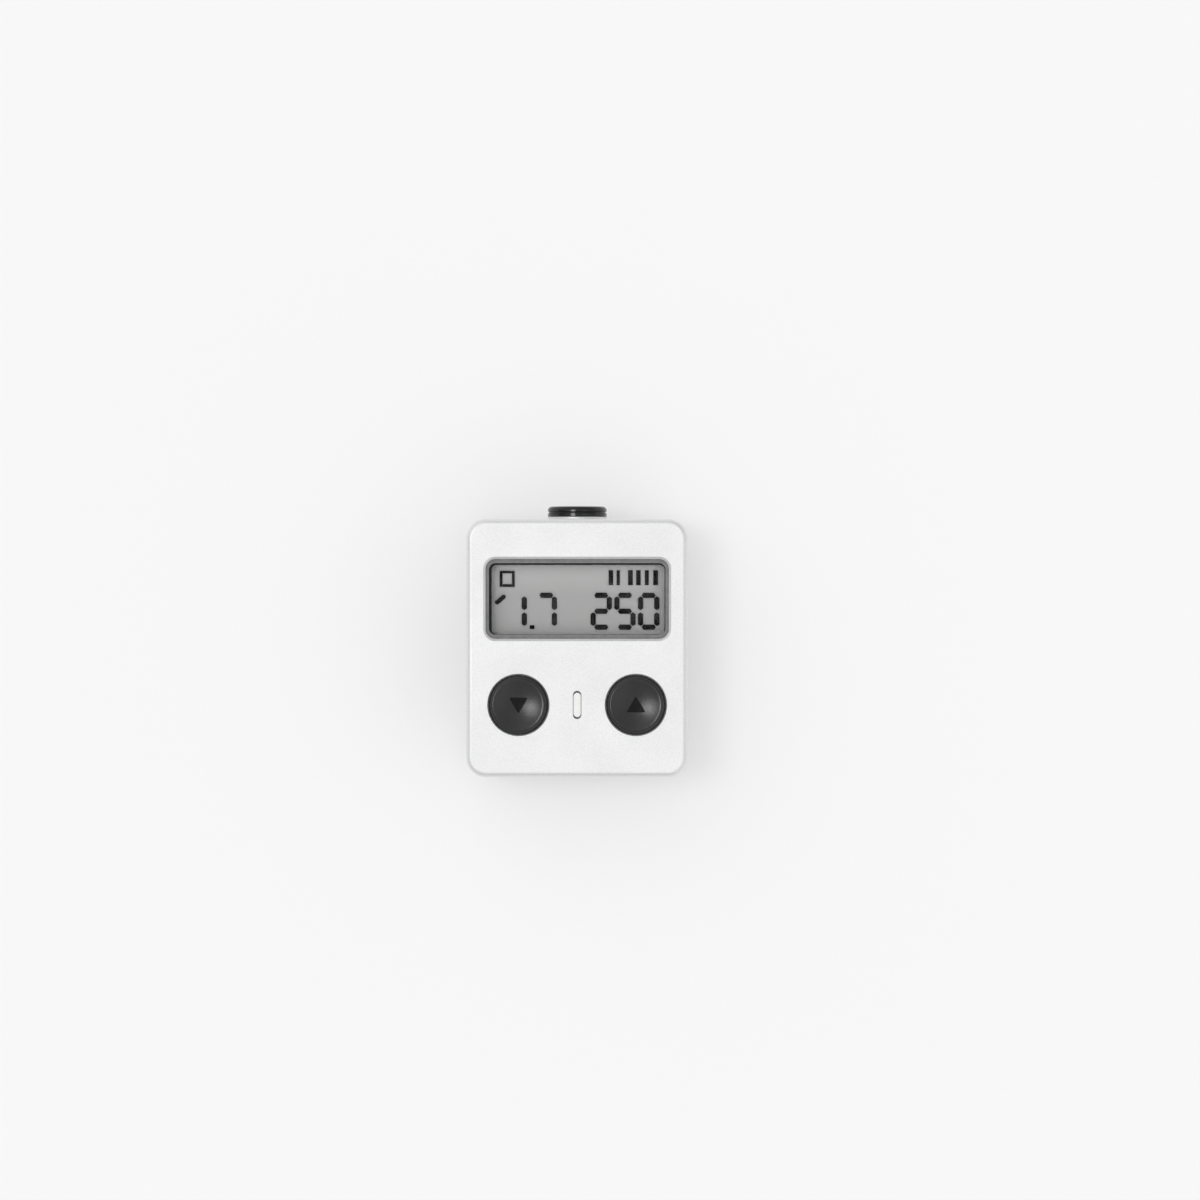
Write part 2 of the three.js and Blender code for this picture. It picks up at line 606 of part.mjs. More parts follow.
function barrelHole() {
  const radius = barrelRadius + BARREL_GAP;
  const inner = frontFace - SIDE_WALL - OVERRUN;
  return turnedAboutY([
    [0, inner],
    [radius, inner],
    [radius, frontFace + OVERRUN],
    [0, frontFace + OVERRUN],
  ]).translate([0, 0, sensorHeight]);
}

function traySlot() {
  const height = roofBottom + SLIP_GAP - plateTop;
  const outline = roundedOutline(2 * railInner, height, TRAY_CAP_CORNER + SLIP_GAP);
  return prismAlongX(outline, -BODY_WIDTH / 2 - OVERRUN, SIDE_WALL + 2 * OVERRUN, 0, plateTop + height / 2);
}

function makeHousing() {
  const rooted = ceiling + TOP_WALL / 2; // the bosses run up into the top wall
  const cornerBosses = plateScrewPlaces.map(([, x, y]) =>
    cylinder(CORNER_BOSS_RADIUS, plateTop, rooted - plateTop, x, y, ROUND_STEPS / 2));
  const boardBosses = boardScrewPlaces.map(([, x, y]) =>
    cylinder(BOARD_BOSS_RADIUS, boardTop, rooted - boardTop, x, y, ROUND_STEPS / 2));
  const plateThreads = plateScrewPlaces.map(([, x, y]) => cylinder(
    SCREW_SHANK_RADIUS + SCREW_GAP, plateTop - OVERRUN, OVERRUN + PLATE_SCREW_BITE + SCREW_HOLE_SPARE,
    x, y, SMALL_ROUND_STEPS));
  const boardThreads = boardScrewPlaces.map(([, x, y]) => cylinder(
    BOARD_SCREW_SHANK_RADIUS + SCREW_GAP, boardTop - OVERRUN, OVERRUN + BOARD_SCREW_BITE + SCREW_HOLE_SPARE,
    x, y, SMALL_ROUND_STEPS));
  const shell = cut(housingBlank(), [housingRoom()]);
  return cut(join([shell, ...cornerBosses, ...boardBosses]), [
    windowCut(),
    buttonHole(-buttonX),
    buttonHole(buttonX),
    lightBarSlot(),
    barrelHole(),
    traySlot(),
    ...plateThreads,
    ...boardThreads,
  ]);
}

// Display: everything in the window follows its outline, grown by a margin or shrunk by a negative one
function windowOutline(margin, cornerMargin = margin) {
  return roundedOutline(
    windowWidth + 2 * margin, windowDepth + 2 * margin, WINDOW_CORNER_RADIUS + cornerMargin);
}

function makePane() {
  return prism(windowOutline(PANE_MARGIN), paneBottom, PANE_THICKNESS, 0, windowY);
}

function makeGasket() {
  const opening = prism(
    windowOutline(-GASKET_SHOWS), paneTop - OVERRUN, GASKET_THICKNESS + 2 * OVERRUN, 0, windowY);
  return cut(prism(windowOutline(PANE_MARGIN), paneTop, GASKET_THICKNESS, 0, windowY), [opening]);
}

function makeSheet(width, rear, front, bottom, thickness) {
  return block(width, front - rear, thickness, 0, (front + rear) / 2, bottom);
}

function makeHolder() {
  const depth = holderFront - holderRear;
  const middle = (holderFront + holderRear) / 2;
  const outline = roundedOutline(holderWidth, depth, HOLDER_CORNER_RADIUS);
  const frame = prism(outline, boardTop, paneBottom - boardTop, 0, middle);
  const innerWidth = holderWidth - 2 * HOLDER_WALL;
  const innerDepth = depth - 2 * HOLDER_WALL;
  const upper = block(innerWidth, innerDepth, paneBottom - shelfTop + OVERRUN, 0, middle, shelfTop);
  const lowerDepth = innerDepth - HOLDER_SHELF;
  const lower = block(
    innerWidth - 2 * HOLDER_SHELF, lowerDepth, paneBottom - boardTop + 2 * OVERRUN,
    0, middle - HOLDER_SHELF / 2, boardTop - OVERRUN);
  return cut(frame, [upper, lower]);
}

function makeDisplay() {
  const display = new THREE.Group();
  const rearGlassBottom = frontGlassBottom - GLASS_THICKNESS;
  const filmWidth = glassWidth - 2 * FILM_INSET;
  const filmRear = rearGlassRear + FILM_INSET;
  const filmFront = glassFront - FILM_INSET;
  const zebraRear = frontGlassRear + (CONTACT_LEDGE - ZEBRA_WIDTH) / 2;
  const zebraLength = glassWidth - 2 * ZEBRA_END_INSET;
  display.add(
    piece("window_gasket", makeGasket(), "gasket"),
    piece("window_pane", makePane(), "pane"),
    piece("lcd_polariser",
      makeSheet(filmWidth, filmRear, filmFront, polariserBottom, FILM_THICKNESS), "film"),
    piece("lcd_front_glass",
      makeSheet(glassWidth, frontGlassRear, glassFront, frontGlassBottom, GLASS_THICKNESS), "glass"),
    piece("lcd_rear_glass",
      makeSheet(glassWidth, rearGlassRear, glassFront, rearGlassBottom, GLASS_THICKNESS), "glass"),
    piece("lcd_reflector",
      makeSheet(filmWidth, filmRear, filmFront, rearGlassBottom - FILM_THICKNESS, FILM_THICKNESS), "film"),
    piece("lcd_holder", makeHolder(), "blackPlastic"),
    piece("zebra_strip",
      makeSheet(zebraLength, zebraRear, zebraRear + ZEBRA_WIDTH, boardTop, zebraHeight), "rubber"),
  );
  return display;
}

// Buttons and switches, each built about its own axis with zero on the circuit board's upper face
const switchCavityTop = SWITCH_HEIGHT - SWITCH_COVER;
const plungerBottom = SWITCH_FLOOR + DOME_HEIGHT;
const plungerTop = SWITCH_HEIGHT + PLUNGER_STAND;

function makeSwitch() {
  const outline = roundedOutline(SWITCH_SIZE, SWITCH_SIZE, SWITCH_CORNER_RADIUS);
  return cut(prism(outline, 0, SWITCH_HEIGHT), [
    cylinder(PLUNGER_FLANGE_RADIUS + PLUNGER_GAP, SWITCH_FLOOR, switchCavityTop - SWITCH_FLOOR, 0, 0,
      SMALL_ROUND_STEPS),
    cylinder(PLUNGER_RADIUS + PLUNGER_GAP, SWITCH_FLOOR, SWITCH_HEIGHT, 0, 0, SMALL_ROUND_STEPS),
  ]);
}

function makePlunger() {
  const flangeTop = switchCavityTop - PLUNGER_REST_GAP;
  return turned([
    [0, plungerBottom],
    [PLUNGER_FLANGE_RADIUS, plungerBottom],
    [PLUNGER_FLANGE_RADIUS, flangeTop],
    [PLUNGER_RADIUS, flangeTop],
    [PLUNGER_RADIUS, plungerTop],
    [0, plungerTop],
  ], SMALL_ROUND_STEPS);
}

// A sprung steel dome, drawn as a parabola: it stands on its rim and snaps flat under the plunger.
function makeDome() {
  const rise = DOME_HEIGHT - DOME_SHEET;
  const arch = DOME_RING_SHARES.map((share) => [PLUNGER_FLANGE_RADIUS * share, rise * (1 - share * share)]);
  const over = arch.map(([radius, height]) => [radius, SWITCH_FLOOR + DOME_SHEET + height]);
  const under = arch.map(([radius, height]) => [radius, SWITCH_FLOOR + height]).reverse();
  return turned([...under, ...over], SMALL_ROUND_STEPS);
}

function makeButton() {
  const flangeTop = ceiling - BUTTON_REST_GAP - boardTop;
  const flangeBottom = flangeTop - BUTTON_FLANGE_THICKNESS;
  const top = bodyTop + BUTTON_PROUD - boardTop;
  const radius = BUTTON_HOLE_RADIUS - BUTTON_GAP;
  const edge = quarterArc().map(([across, up]) => [
    radius - BUTTON_EDGE_RADIUS * (1 - across),
    top - BUTTON_EDGE_RADIUS * (1 - up),
  ]);
  const dishRadius = radius - BUTTON_EDGE_RADIUS;
  const dish = DISH_RING_SHARES.map((share) => [dishRadius * share, top - BUTTON_DISH * (1 - share * share)]);
  return turned([
    [0, plungerTop],
    [BUTTON_NUB_RADIUS, plungerTop],
    [BUTTON_NUB_RADIUS, flangeBottom],
    [buttonFlangeRadius, flangeBottom],
    [buttonFlangeRadius, flangeTop],
    [radius, flangeTop],
    ...edge,
    ...dish,
  ]);
}

function makeKey(side, x) {
  const key = new THREE.Group();
  key.position.set(x, buttonY, boardTop);
  key.add(
    piece(`${side}_button`, makeButton(), "button"),
    piece(`${side}_switch`, makeSwitch(), "chip"),
    piece(`${side}_switch_plunger`, makePlunger(), "blackPlastic"),
    piece(`${side}_snap_dome`, makeDome(), "spring"),
  );
  return key;
}

// Status light
function makeLightBar() {
  const length = SLOT_LENGTH - 2 * LIGHT_BAR_GAP;
  const bottom = boardTop + LED_HEIGHT + LED_GAP;
  const top = bodyTop - LIGHT_BAR_SUNK;
  const outline = roundedOutline(lightBarWidth, length, lightBarWidth / 2);
  const bar = prism(outline, bottom, top - bottom, 0, buttonY);
  const flange = prism(
    roundedOutline(lightBarFlangeWidth, length + 2 * LIGHT_BAR_FLANGE, lightBarFlangeWidth / 2),
    ceiling - LIGHT_BAR_FLANGE_THICKNESS, LIGHT_BAR_FLANGE_THICKNESS, 0, buttonY);
  return join([bar, flange]);
}

// Light sensor, built about the Y axis and lifted to its height
function makeBezel() {
  const front = frontFace + BEZEL_PROUD;
  const shoulder = front - BEZEL_LIP;
  const grooveMiddle = frontFace + (BEZEL_PROUD - BEZEL_EDGE_RADIUS) / 2;
  const edge = quarterArc().map(([across, up]) => [
    bezelRadius - BEZEL_EDGE_RADIUS * (1 - across),
    front - BEZEL_EDGE_RADIUS * (1 - up),
  ]);
  const outside = [
    [barrelBore, barrelEnd],
    [barrelRadius, barrelEnd],
    [barrelRadius, frontFace],
    [bezelRadius, frontFace],
    [bezelRadius, grooveMiddle - BEZEL_GROOVE_WIDTH / 2],
    [bezelRadius - BEZEL_GROOVE_DEPTH, grooveMiddle],
    [bezelRadius, grooveMiddle + BEZEL_GROOVE_WIDTH / 2],
    ...edge,
  ];
  const inside = [
    [APERTURE_RADIUS + APERTURE_CHAMFER, front],
    [APERTURE_RADIUS, front - APERTURE_CHAMFER],
    [APERTURE_RADIUS, shoulder],
    [barrelBore, shoulder],
    [barrelBore, barrelEnd],
  ];
  return turnedAboutY([...outside, ...inside]);
}

function makeDiffuser() {
  const shoulder = frontFace + BEZEL_PROUD - BEZEL_LIP;
  const domeRadius = APERTURE_RADIUS - SLIP_GAP;
  const dome = DOME_RING_SHARES.map((share) => [
    domeRadius * share,
    shoulder + DIFFUSER_DOME_RISE * (1 - share * share),
  ]);
  return turnedAboutY([
    [0, shoulder - DIFFUSER_THICKNESS],
    [diffuserRadius, shoulder - DIFFUSER_THICKNESS],
    [diffuserRadius, shoulder],
    ...dome,
  ], ROUND_STEPS / 2);
}

function ringAboutY(outer, inner, rear, front, steps = ROUND_STEPS) {
  return turnedAboutY([
    [inner, rear],
    [outer, rear],
    [outer, front],
    [inner, front],
    [inner, rear],
  ], steps);
}

function makeRingNut() {
  const rear = frontFace - SIDE_WALL - NUT_THICKNESS;
  const inner = barrelRadius + BARREL_GAP;
  const outer = inner + NUT_WALL;
  const ring = ringAboutY(outer, inner, rear, rear + NUT_THICKNESS, ROUND_STEPS / 2);
  const notchRear = rear - OVERRUN;
  const notchDepth = NUT_NOTCH_DEPTH + OVERRUN;
  const notches = [-1, 1].map((side) =>
    block((outer + OVERRUN - inner / 2), notchDepth, NUT_NOTCH_WIDTH,
      (side * (outer + OVERRUN + inner / 2)) / 2, notchRear + notchDepth / 2, -NUT_NOTCH_WIDTH / 2));
  return cut(ring, notches);
}

const pinHeight = boardBottom - HEADER_HEIGHT / 2 - sensorHeight; // from the sensor's axis
const pinPlaces = [-PIN_SPACING / 2, PIN_SPACING / 2];

function makeSensorBoard() {
  const outline = roundedOutline(SENSOR_BOARD_WIDTH, SENSOR_BOARD_HEIGHT, SENSOR_BOARD_CORNER);
  const middle = barrelEnd - SENSOR_BOARD_THICKNESS / 2;
  const board = prismAlongY(outline, SENSOR_BOARD_THICKNESS, 0, middle, 0);
  const holes = pinPlaces.map((x) => turnedAboutY([
    [0, sensorBoardRear - OVERRUN],
    [PIN_HOLE_RADIUS, sensorBoardRear - OVERRUN],
    [PIN_HOLE_RADIUS, barrelEnd + OVERRUN],
    [0, barrelEnd + OVERRUN],
  ], SMALL_ROUND_STEPS).translate([x, 0, pinHeight]));
  return cut(board, holes);
}

// Two pins moulded into a bar under the main board, which reach forward through the sensor's board.
function makeHeader() {
  const pinRear = boardFront - HEADER_DEPTH / 2;
  const bar = block(HEADER_WIDTH, HEADER_DEPTH, HEADER_HEIGHT, 0, pinRear, pinHeight - HEADER_HEIGHT / 2);
  const pins = pinPlaces.map((x) =>
    block(PIN_SIZE, barrelEnd - pinRear, PIN_SIZE, x, (barrelEnd + pinRear) / 2, pinHeight - PIN_SIZE / 2));
  return join([bar, ...pins]);
}

function makeSensor() {
  const sensor = new THREE.Group();
  sensor.position.z = sensorHeight;
  const shoulder = frontFace + BEZEL_PROUD - BEZEL_LIP;
  const ringFront = shoulder - DIFFUSER_THICKNESS;
  const photodiode = block(
    PHOTODIODE_SIZE, PHOTODIODE_THICKNESS, PHOTODIODE_SIZE,
    0, barrelEnd + PHOTODIODE_THICKNESS / 2, -PHOTODIODE_SIZE / 2);
  sensor.add(
    piece("sensor_bezel", makeBezel(), "bezel"),
    piece("sensor_diffuser", makeDiffuser(), "clouded"),
    piece("diffuser_ring", ringAboutY(
      diffuserRadius, diffuserRadius - DIFFUSER_RING_WIDTH, ringFront - DIFFUSER_RING_THICKNESS, ringFront,
      ROUND_STEPS / 2), "bezel"),
    piece("bezel_ring_nut", makeRingNut(), "steel"),
    piece("photodiode", photodiode, "chip"),
    piece("sensor_board", makeSensorBoard(), "laminate"),
    piece("sensor_header", makeHeader(), "blackPlastic"),
  );
  return sensor;
}

// Circuit board and what is soldered to it
function makeBoard() {
  const depth = boardFront - boardRear;
  const outline = roundedOutline(2 * (roomHalfWidth - BAY_GAP), depth, BOARD_CORNER_RADIUS);
  const board = prism(outline, boardBottom, BOARD_THICKNESS, 0, (boardFront + boardRear) / 2);
  const bottom = boardBottom - OVERRUN;
  const through = BOARD_THICKNESS + 2 * OVERRUN;
  const notches = plateScrewPlaces.map(([, x, y]) =>
    cylinder(CORNER_BOSS_RADIUS + BAY_GAP, bottom, through, x, y, SMALL_ROUND_STEPS));
  const corners = plateScrewPlaces.map(([, x, y]) => {
    const reach = BODY_CORNER_RADIUS + CORNER_BOSS_RADIUS + BAY_GAP;
    const outX = Math.sign(x) * reach / 2;
    const outY = Math.sign(y) * reach / 2;
    const half = CORNER_BOSS_RADIUS + BAY_GAP;
    return join([
      block(reach, 2 * half, through, x + outX, y, bottom),
      block(2 * half, reach, through, x, y + outY, bottom),
    ]);
  });
  const screwHoles = boardScrewPlaces.map(([, x, y]) => cylinder(
    BOARD_SCREW_SHANK_RADIUS + SLIP_GAP, bottom, through, x, y, SMALL_ROUND_STEPS));
  return cut(board, [...notches, ...corners, ...screwHoles]);
}

function makeBoardScrew() {
  const tip = BOARD_THICKNESS + BOARD_SCREW_BITE;
  const bevel = BOARD_SCREW_HEAD_HEIGHT / 3;
  const body = turned([
    [0, -BOARD_SCREW_HEAD_HEIGHT],
    [BOARD_SCREW_HEAD_RADIUS - bevel, -BOARD_SCREW_HEAD_HEIGHT],
    [BOARD_SCREW_HEAD_RADIUS, bevel - BOARD_SCREW_HEAD_HEIGHT],
    [BOARD_SCREW_HEAD_RADIUS, 0],
    [BOARD_SCREW_SHANK_RADIUS, 0],
    [BOARD_SCREW_SHANK_RADIUS, tip],
    [0, tip],
  ], SMALL_ROUND_STEPS);
  const depth = BOARD_SCREW_HEAD_HEIGHT / 2 + OVERRUN;
  const bottom = -BOARD_SCREW_HEAD_HEIGHT - OVERRUN;
  const span = BOARD_SCREW_HEAD_RADIUS;
  return cut(body, [
    block(span, SCREW_DRIVE_WIDTH, depth, 0, 0, bottom),
    block(SCREW_DRIVE_WIDTH, span, depth, 0, 0, bottom),
  ]);
}

function makeElectronics() {
  const electronics = new THREE.Group();
  const rearWall = PART_TO_WALL - roomHalfDepth;
  const besideBoss = BOARD_BOSS_RADIUS + PART_TO_WALL;
  const chipY = (frontGlassRear + CONTACT_LEDGE + holderFront - HOLDER_WALL - HOLDER_SHELF) / 2;
  const can = new THREE.CylinderGeometry(CRYSTAL_RADIUS, CRYSTAL_RADIUS, CRYSTAL_LENGTH, SMALL_ROUND_STEPS);
  const chip = block(CHIP_SIZE, CHIP_SIZE, CHIP_HEIGHT, 0, 0, 0);
  const capacitor = block(CAPACITOR_LENGTH, CAPACITOR_WIDTH, CAPACITOR_HEIGHT, 0, 0, -CAPACITOR_HEIGHT);
  const diode = block(LED_WIDTH, LED_LENGTH, LED_HEIGHT, 0, 0, 0);
  electronics.add(
    piece("main_board", makeBoard(), "laminate"),
    piece("microcontroller", chip, "chip", 0, chipY, boardTop),
    piece("clock_crystal", solid(can.rotateZ(Math.PI / 2)), "steel",
      -besideBoss - CRYSTAL_LENGTH / 2, rearWall + CRYSTAL_RADIUS, boardBottom - CRYSTAL_RADIUS),
    piece("supply_capacitor", capacitor, "ceramic",
      besideBoss + CAPACITOR_LENGTH / 2, rearWall + CAPACITOR_WIDTH / 2, boardBottom),
    piece("indicator_led", diode, "clouded", 0, buttonY, boardTop),
    piece("light_bar", makeLightBar(), "clouded"),
    ...boardScrewPlaces.map(([name, x, y]) =>
      piece(`board_screw_${name}`, makeBoardScrew(), "steel", x, y, boardBottom)),
  );
  return electronics;
}

// Coin cell: its wide can is below, and its smaller cap stands up through the seal
function makeCell() {
  const canTop = CELL_THICKNESS - CELL_CAP_RISE;
  const capRadius = CELL_RADIUS - CELL_RIM_WIDTH;
  const lowerEdge = quarterArc().reverse().map(([across, up]) => [
    CELL_RADIUS - CELL_EDGE_RADIUS * (1 - across),
    CELL_EDGE_RADIUS * (1 - up),
  ]);
  const profile = [
    [0, 0],
    ...lowerEdge,
    [CELL_RADIUS, canTop - CELL_CRIMP],
    [CELL_RADIUS - CELL_CRIMP, canTop],
    [capRadius, canTop],
    [capRadius - CELL_CAP_RISE, CELL_THICKNESS],
    [0, CELL_THICKNESS],
  ];
  return turned(profile);
}

// A drawer with two arms that hold the cell, open above and at its inner end
function makeTray() {
  const capOuter = -BODY_WIDTH / 2;
  const armTop = cellTop - TRAY_ARM_DROP;
  const bodyLeft = -roomHalfWidth;
  const length = trayEnd - bodyLeft;
  const arms = block(
    length + SIDE_WALL / 2, 2 * trayHalfWidth, armTop - trayBottom,
    trayEnd - (length + SIDE_WALL / 2) / 2, 0, trayBottom);
  const capHeight = roofBottom - trayBottom;
  const cap = prismAlongX(
    roundedOutline(2 * trayHalfWidth, capHeight, TRAY_CAP_CORNER),
    capOuter, SIDE_WALL, 0, trayBottom + capHeight / 2);
  const pocketRadius = CELL_RADIUS + POCKET_GAP;
  const armInner = CELL_RADIUS - TRAY_ARM_GRIP;
  const mouthLength = trayEnd + OVERRUN - cellX;
  const nick = prismAlongX(
    roundedOutline(NICK_LENGTH, NICK_HEIGHT, NICK_HEIGHT / 2),
    capOuter - OVERRUN, NICK_DEPTH + OVERRUN, 0, trayBottom + capHeight / 2);
  return cut(join([arms, cap]), [
    cylinder(pocketRadius, cellBottom, CELL_THICKNESS + OVERRUN, cellX),
    block(mouthLength, 2 * armInner, CELL_THICKNESS + OVERRUN, cellX + mouthLength / 2, 0, cellBottom),
    cylinder(CELL_RADIUS - TRAY_FLOOR_RIM, trayBottom - OVERRUN, TRAY_FLOOR + 2 * OVERRUN, cellX),
    nick,
  ]);
}

// The channel that the tray runs in, between the housing's side walls. It stands on the base plate and
// carries the circuit board.
function makeGuide() {
  const width = guideRight - guideLeft;
  const middle = (guideLeft + guideRight) / 2;
  const height = boardBottom - plateTop;
  const whole = block(width, 2 * (railInner + GUIDE_WALL), height, middle, 0, plateTop);
  const channelLength = guideEnd - guideLeft + OVERRUN;
  const channel = block(
    channelLength, 2 * railInner, roofBottom - plateTop + OVERRUN,
    guideEnd - channelLength / 2, 0, plateTop - OVERRUN);
  const bayLeft = guideEnd + GUIDE_WALL;
  const bayLength = guideRight + OVERRUN - bayLeft;
  const bay = block(
    bayLength, 2 * railInner, height + 2 * OVERRUN, bayLeft + bayLength / 2, 0, plateTop - OVERRUN);
  const windowLeft = cellX - GUIDE_WINDOW_LEFT;
  const window = block(
    guideEnd - windowLeft, 2 * (railInner - GUIDE_ROOF_STRIP), GUIDE_ROOF + 2 * OVERRUN,
    (guideEnd + windowLeft) / 2, 0, roofBottom - OVERRUN);
  const screwRooms = [-sideBossX, sideBossX].map((x) => cylinder(
    BOARD_SCREW_HEAD_RADIUS + BAY_GAP, roofBottom - OVERRUN, GUIDE_ROOF + 2 * OVERRUN,
    x, sideBossY, SMALL_ROUND_STEPS));
  return cut(whole, [channel, bay, window, ...screwRooms]);
}

// Leaf contacts, soldered under the board: one presses on the cell's cap, one on the can's rim
function makeNegativeContact() {
  const foot = boardBottom - CONTACT_SHEET / 2;
  const touch = cellTop + CONTACT_TOUCH_GAP + CONTACT_SHEET / 2;
  return bentStrip([
    [cellX - NEGATIVE_FOOT_START, foot],
    [cellX - NEGATIVE_FOOT_END, foot],
    [cellX + NEGATIVE_TOUCH, touch],
    [cellX + NEGATIVE_TIP, touch + NEGATIVE_TIP_RISE],
  ], CONTACT_SHEET, CONTACT_WIDTH);
}

function makePositiveContact() {
  const leg = cellRim + CONTACT_TOUCH_GAP + CONTACT_SHEET / 2;
  const foot = boardBottom - CONTACT_SHEET / 2;
  return bentStrip([
    [leg - POSITIVE_FOOT_LENGTH, foot],
    [leg, foot],
    [leg, cellBottom + POSITIVE_TIP_LIFT],
  ], CONTACT_SHEET, CONTACT_WIDTH);
}

function makeBattery() {
  const battery = new THREE.Group();
  battery.add(
    piece("battery_tray", makeTray(), "blackPlastic"),
    piece("coin_cell", makeCell(), "cell", cellX, 0, cellBottom),
    piece("battery_guide", makeGuide(), "blackPlastic"),
    piece("negative_contact", makeNegativeContact(), "spring"),
    piece("positive_contact", makePositiveContact(), "spring"),
  );
  return battery;
}

// Case: the housing, the plate and the foot, with their screws
function makeCase() {
  const casing = new THREE.Group();
  casing.add(
    piece("housing", makeHousing(), "silver"),
    piece("base_plate", makeBasePlate(), "silver"),
    piece("shoe_foot", makeFoot(), "foot"),
    ...plateScrewPlaces.map(([name, x, y]) =>
      piece(`base_screw_${name}`, countersunkScrew(plateScrewLength), "steel", x, y, bodyBottom)),
    ...footScrewPlaces.map(([name, x, y]) =>
      piece(`foot_screw_${name}`, countersunkScrew(footScrewLength), "steel", x, y, 0)),
  );
  return casing;
}

const meter = new THREE.Group();
meter.add(
  makeCase(),
  makeDisplay(),
  makeKey("left", -buttonX),
  makeKey("right", buttonX),
  makeSensor(),
  makeElectronics(),
  makeBattery(),
);

export default meter;
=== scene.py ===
import math

import bmesh
import bpy
import numpy as np
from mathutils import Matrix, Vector


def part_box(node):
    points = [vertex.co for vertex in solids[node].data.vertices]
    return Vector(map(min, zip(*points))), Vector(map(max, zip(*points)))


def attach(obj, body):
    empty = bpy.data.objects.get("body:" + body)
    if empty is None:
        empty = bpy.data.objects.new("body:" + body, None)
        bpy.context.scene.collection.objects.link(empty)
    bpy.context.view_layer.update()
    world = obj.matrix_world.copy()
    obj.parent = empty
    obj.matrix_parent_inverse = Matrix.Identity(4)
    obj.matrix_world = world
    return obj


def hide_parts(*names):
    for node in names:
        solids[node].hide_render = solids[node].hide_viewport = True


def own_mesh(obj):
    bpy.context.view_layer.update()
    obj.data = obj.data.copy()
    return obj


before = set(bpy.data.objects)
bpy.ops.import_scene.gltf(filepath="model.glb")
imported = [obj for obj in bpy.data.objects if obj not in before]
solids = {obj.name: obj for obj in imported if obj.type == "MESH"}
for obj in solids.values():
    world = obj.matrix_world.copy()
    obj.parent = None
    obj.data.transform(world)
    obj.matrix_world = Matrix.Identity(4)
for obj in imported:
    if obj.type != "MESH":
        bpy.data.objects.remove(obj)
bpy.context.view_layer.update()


# Camera: a long lens a metre above the meter, looking straight down with the subject's side at the
# top of the frame. The meter stands left of the middle and below it, as in the photograph.
MM = 0.001
VIEW_WIDTH = 157 * MM  # what the frame takes in, level with the meter's top face
VIEW_MIDDLE = (2.99 * MM, 6.3 * MM)
VIEW_DISTANCE, VIEW_END = 1.0, 10
SENSOR_WIDTH = 36


def stand(name, data):
    """A new object that stands in the scene."""
    made = bpy.data.objects.new(name, data)
    bpy.context.scene.collection.objects.link(made)
    return made


camera_body = bpy.data.cameras.new("camera")
camera_body.sensor_width = SENSOR_WIDTH
camera_body.lens = SENSOR_WIDTH * VIEW_DISTANCE / VIEW_WIDTH
camera_body.clip_end = VIEW_END
camera = stand("camera", camera_body)
camera.location = (*VIEW_MIDDLE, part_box("housing")[1].z + VIEW_DISTANCE)
bpy.context.scene.camera = camera


# Studio: a plain pale floor that the foot stands on, a small soft lamp overhead and a little to the
# left, broad weak ones from ahead on the left and from the right, and white card all round, which the
# world stands for.
FLOOR_SIZE = 8.0
FLOOR_COLOUR = (0.9, 0.9, 0.9)
FLOOR_GLOW = 0.3  # how far the floor is taken towards white where it is seen, to keep its shadow faint
LAMPS = {  # the way towards each lamp, its watts on each square metre, and the degrees that it spans
    "key_lamp": ((-0.28, 0.05, 0.96), 0.4, 16),
    "front_lamp": ((-0.55, 0.6, 0.66), 0.3, 70),
    "fill_lamp": ((0.9, -0.45, 0.7), 0.3, 80),
}
CARD_LIGHT = 0.78  # what the white card adds all round
CARD_SEEN = [  # the sine of a height, and how bright the card looks there
    (0.0, 0.95), (0.12, 0.95), (0.3, 0.42), (0.62, 0.45), (0.83, 0.72)]

for name, (towards, strength, across) in LAMPS.items():
    light = bpy.data.lights.new(name, "SUN")
    light.energy = strength
    light.angle = math.radians(across)
    stand(name, light).rotation_euler = (-Vector(towards)).to_track_quat("-Z", "Y").to_euler()


def wired(tree, kind, inputs, output=0, **settings):
    """An output of a new node with its settings. An input is a plain value or another node's output."""
    made = tree.nodes.new("ShaderNode" + kind)
    for setting, value in settings.items():
        setattr(made, setting, value)
    for socket, value in inputs.items():
        if isinstance(value, bpy.types.NodeSocket):
            tree.links.new(value, made.inputs[socket])
        else:
            made.inputs[socket].default_value = value
    return made.outputs[output]


def where_seen(tree):
    """One for a ray that sees a surface, straight or in a gloss or through glass, and nothing for light."""
    ray = tree.nodes.new("ShaderNodeLightPath").outputs
    seen = wired(tree, "Math", {0: ray["Is Camera Ray"], 1: ray["Is Glossy Ray"]}, operation="MAXIMUM")
    return wired(tree, "Math", {0: seen, 1: ray["Is Transmission Ray"]}, operation="MAXIMUM")


def plain_finish(name, colour, roughness, metallic=0.0, **others):
    """A material of one shader with plain values, which the patterns below then vary."""
    finish = bpy.data.materials.new(name)
    finish.use_nodes = True
    sockets = finish.node_tree.nodes["Principled BSDF"].inputs
    sockets["Base Color"].default_value = (*colour, 1)
    sockets["Roughness"].default_value = roughness
    sockets["Metallic"].default_value = metallic
    for socket, value in others.items():
        sockets[socket.replace("_", " ").title().replace("Ior", "IOR")].default_value = value
    return finish


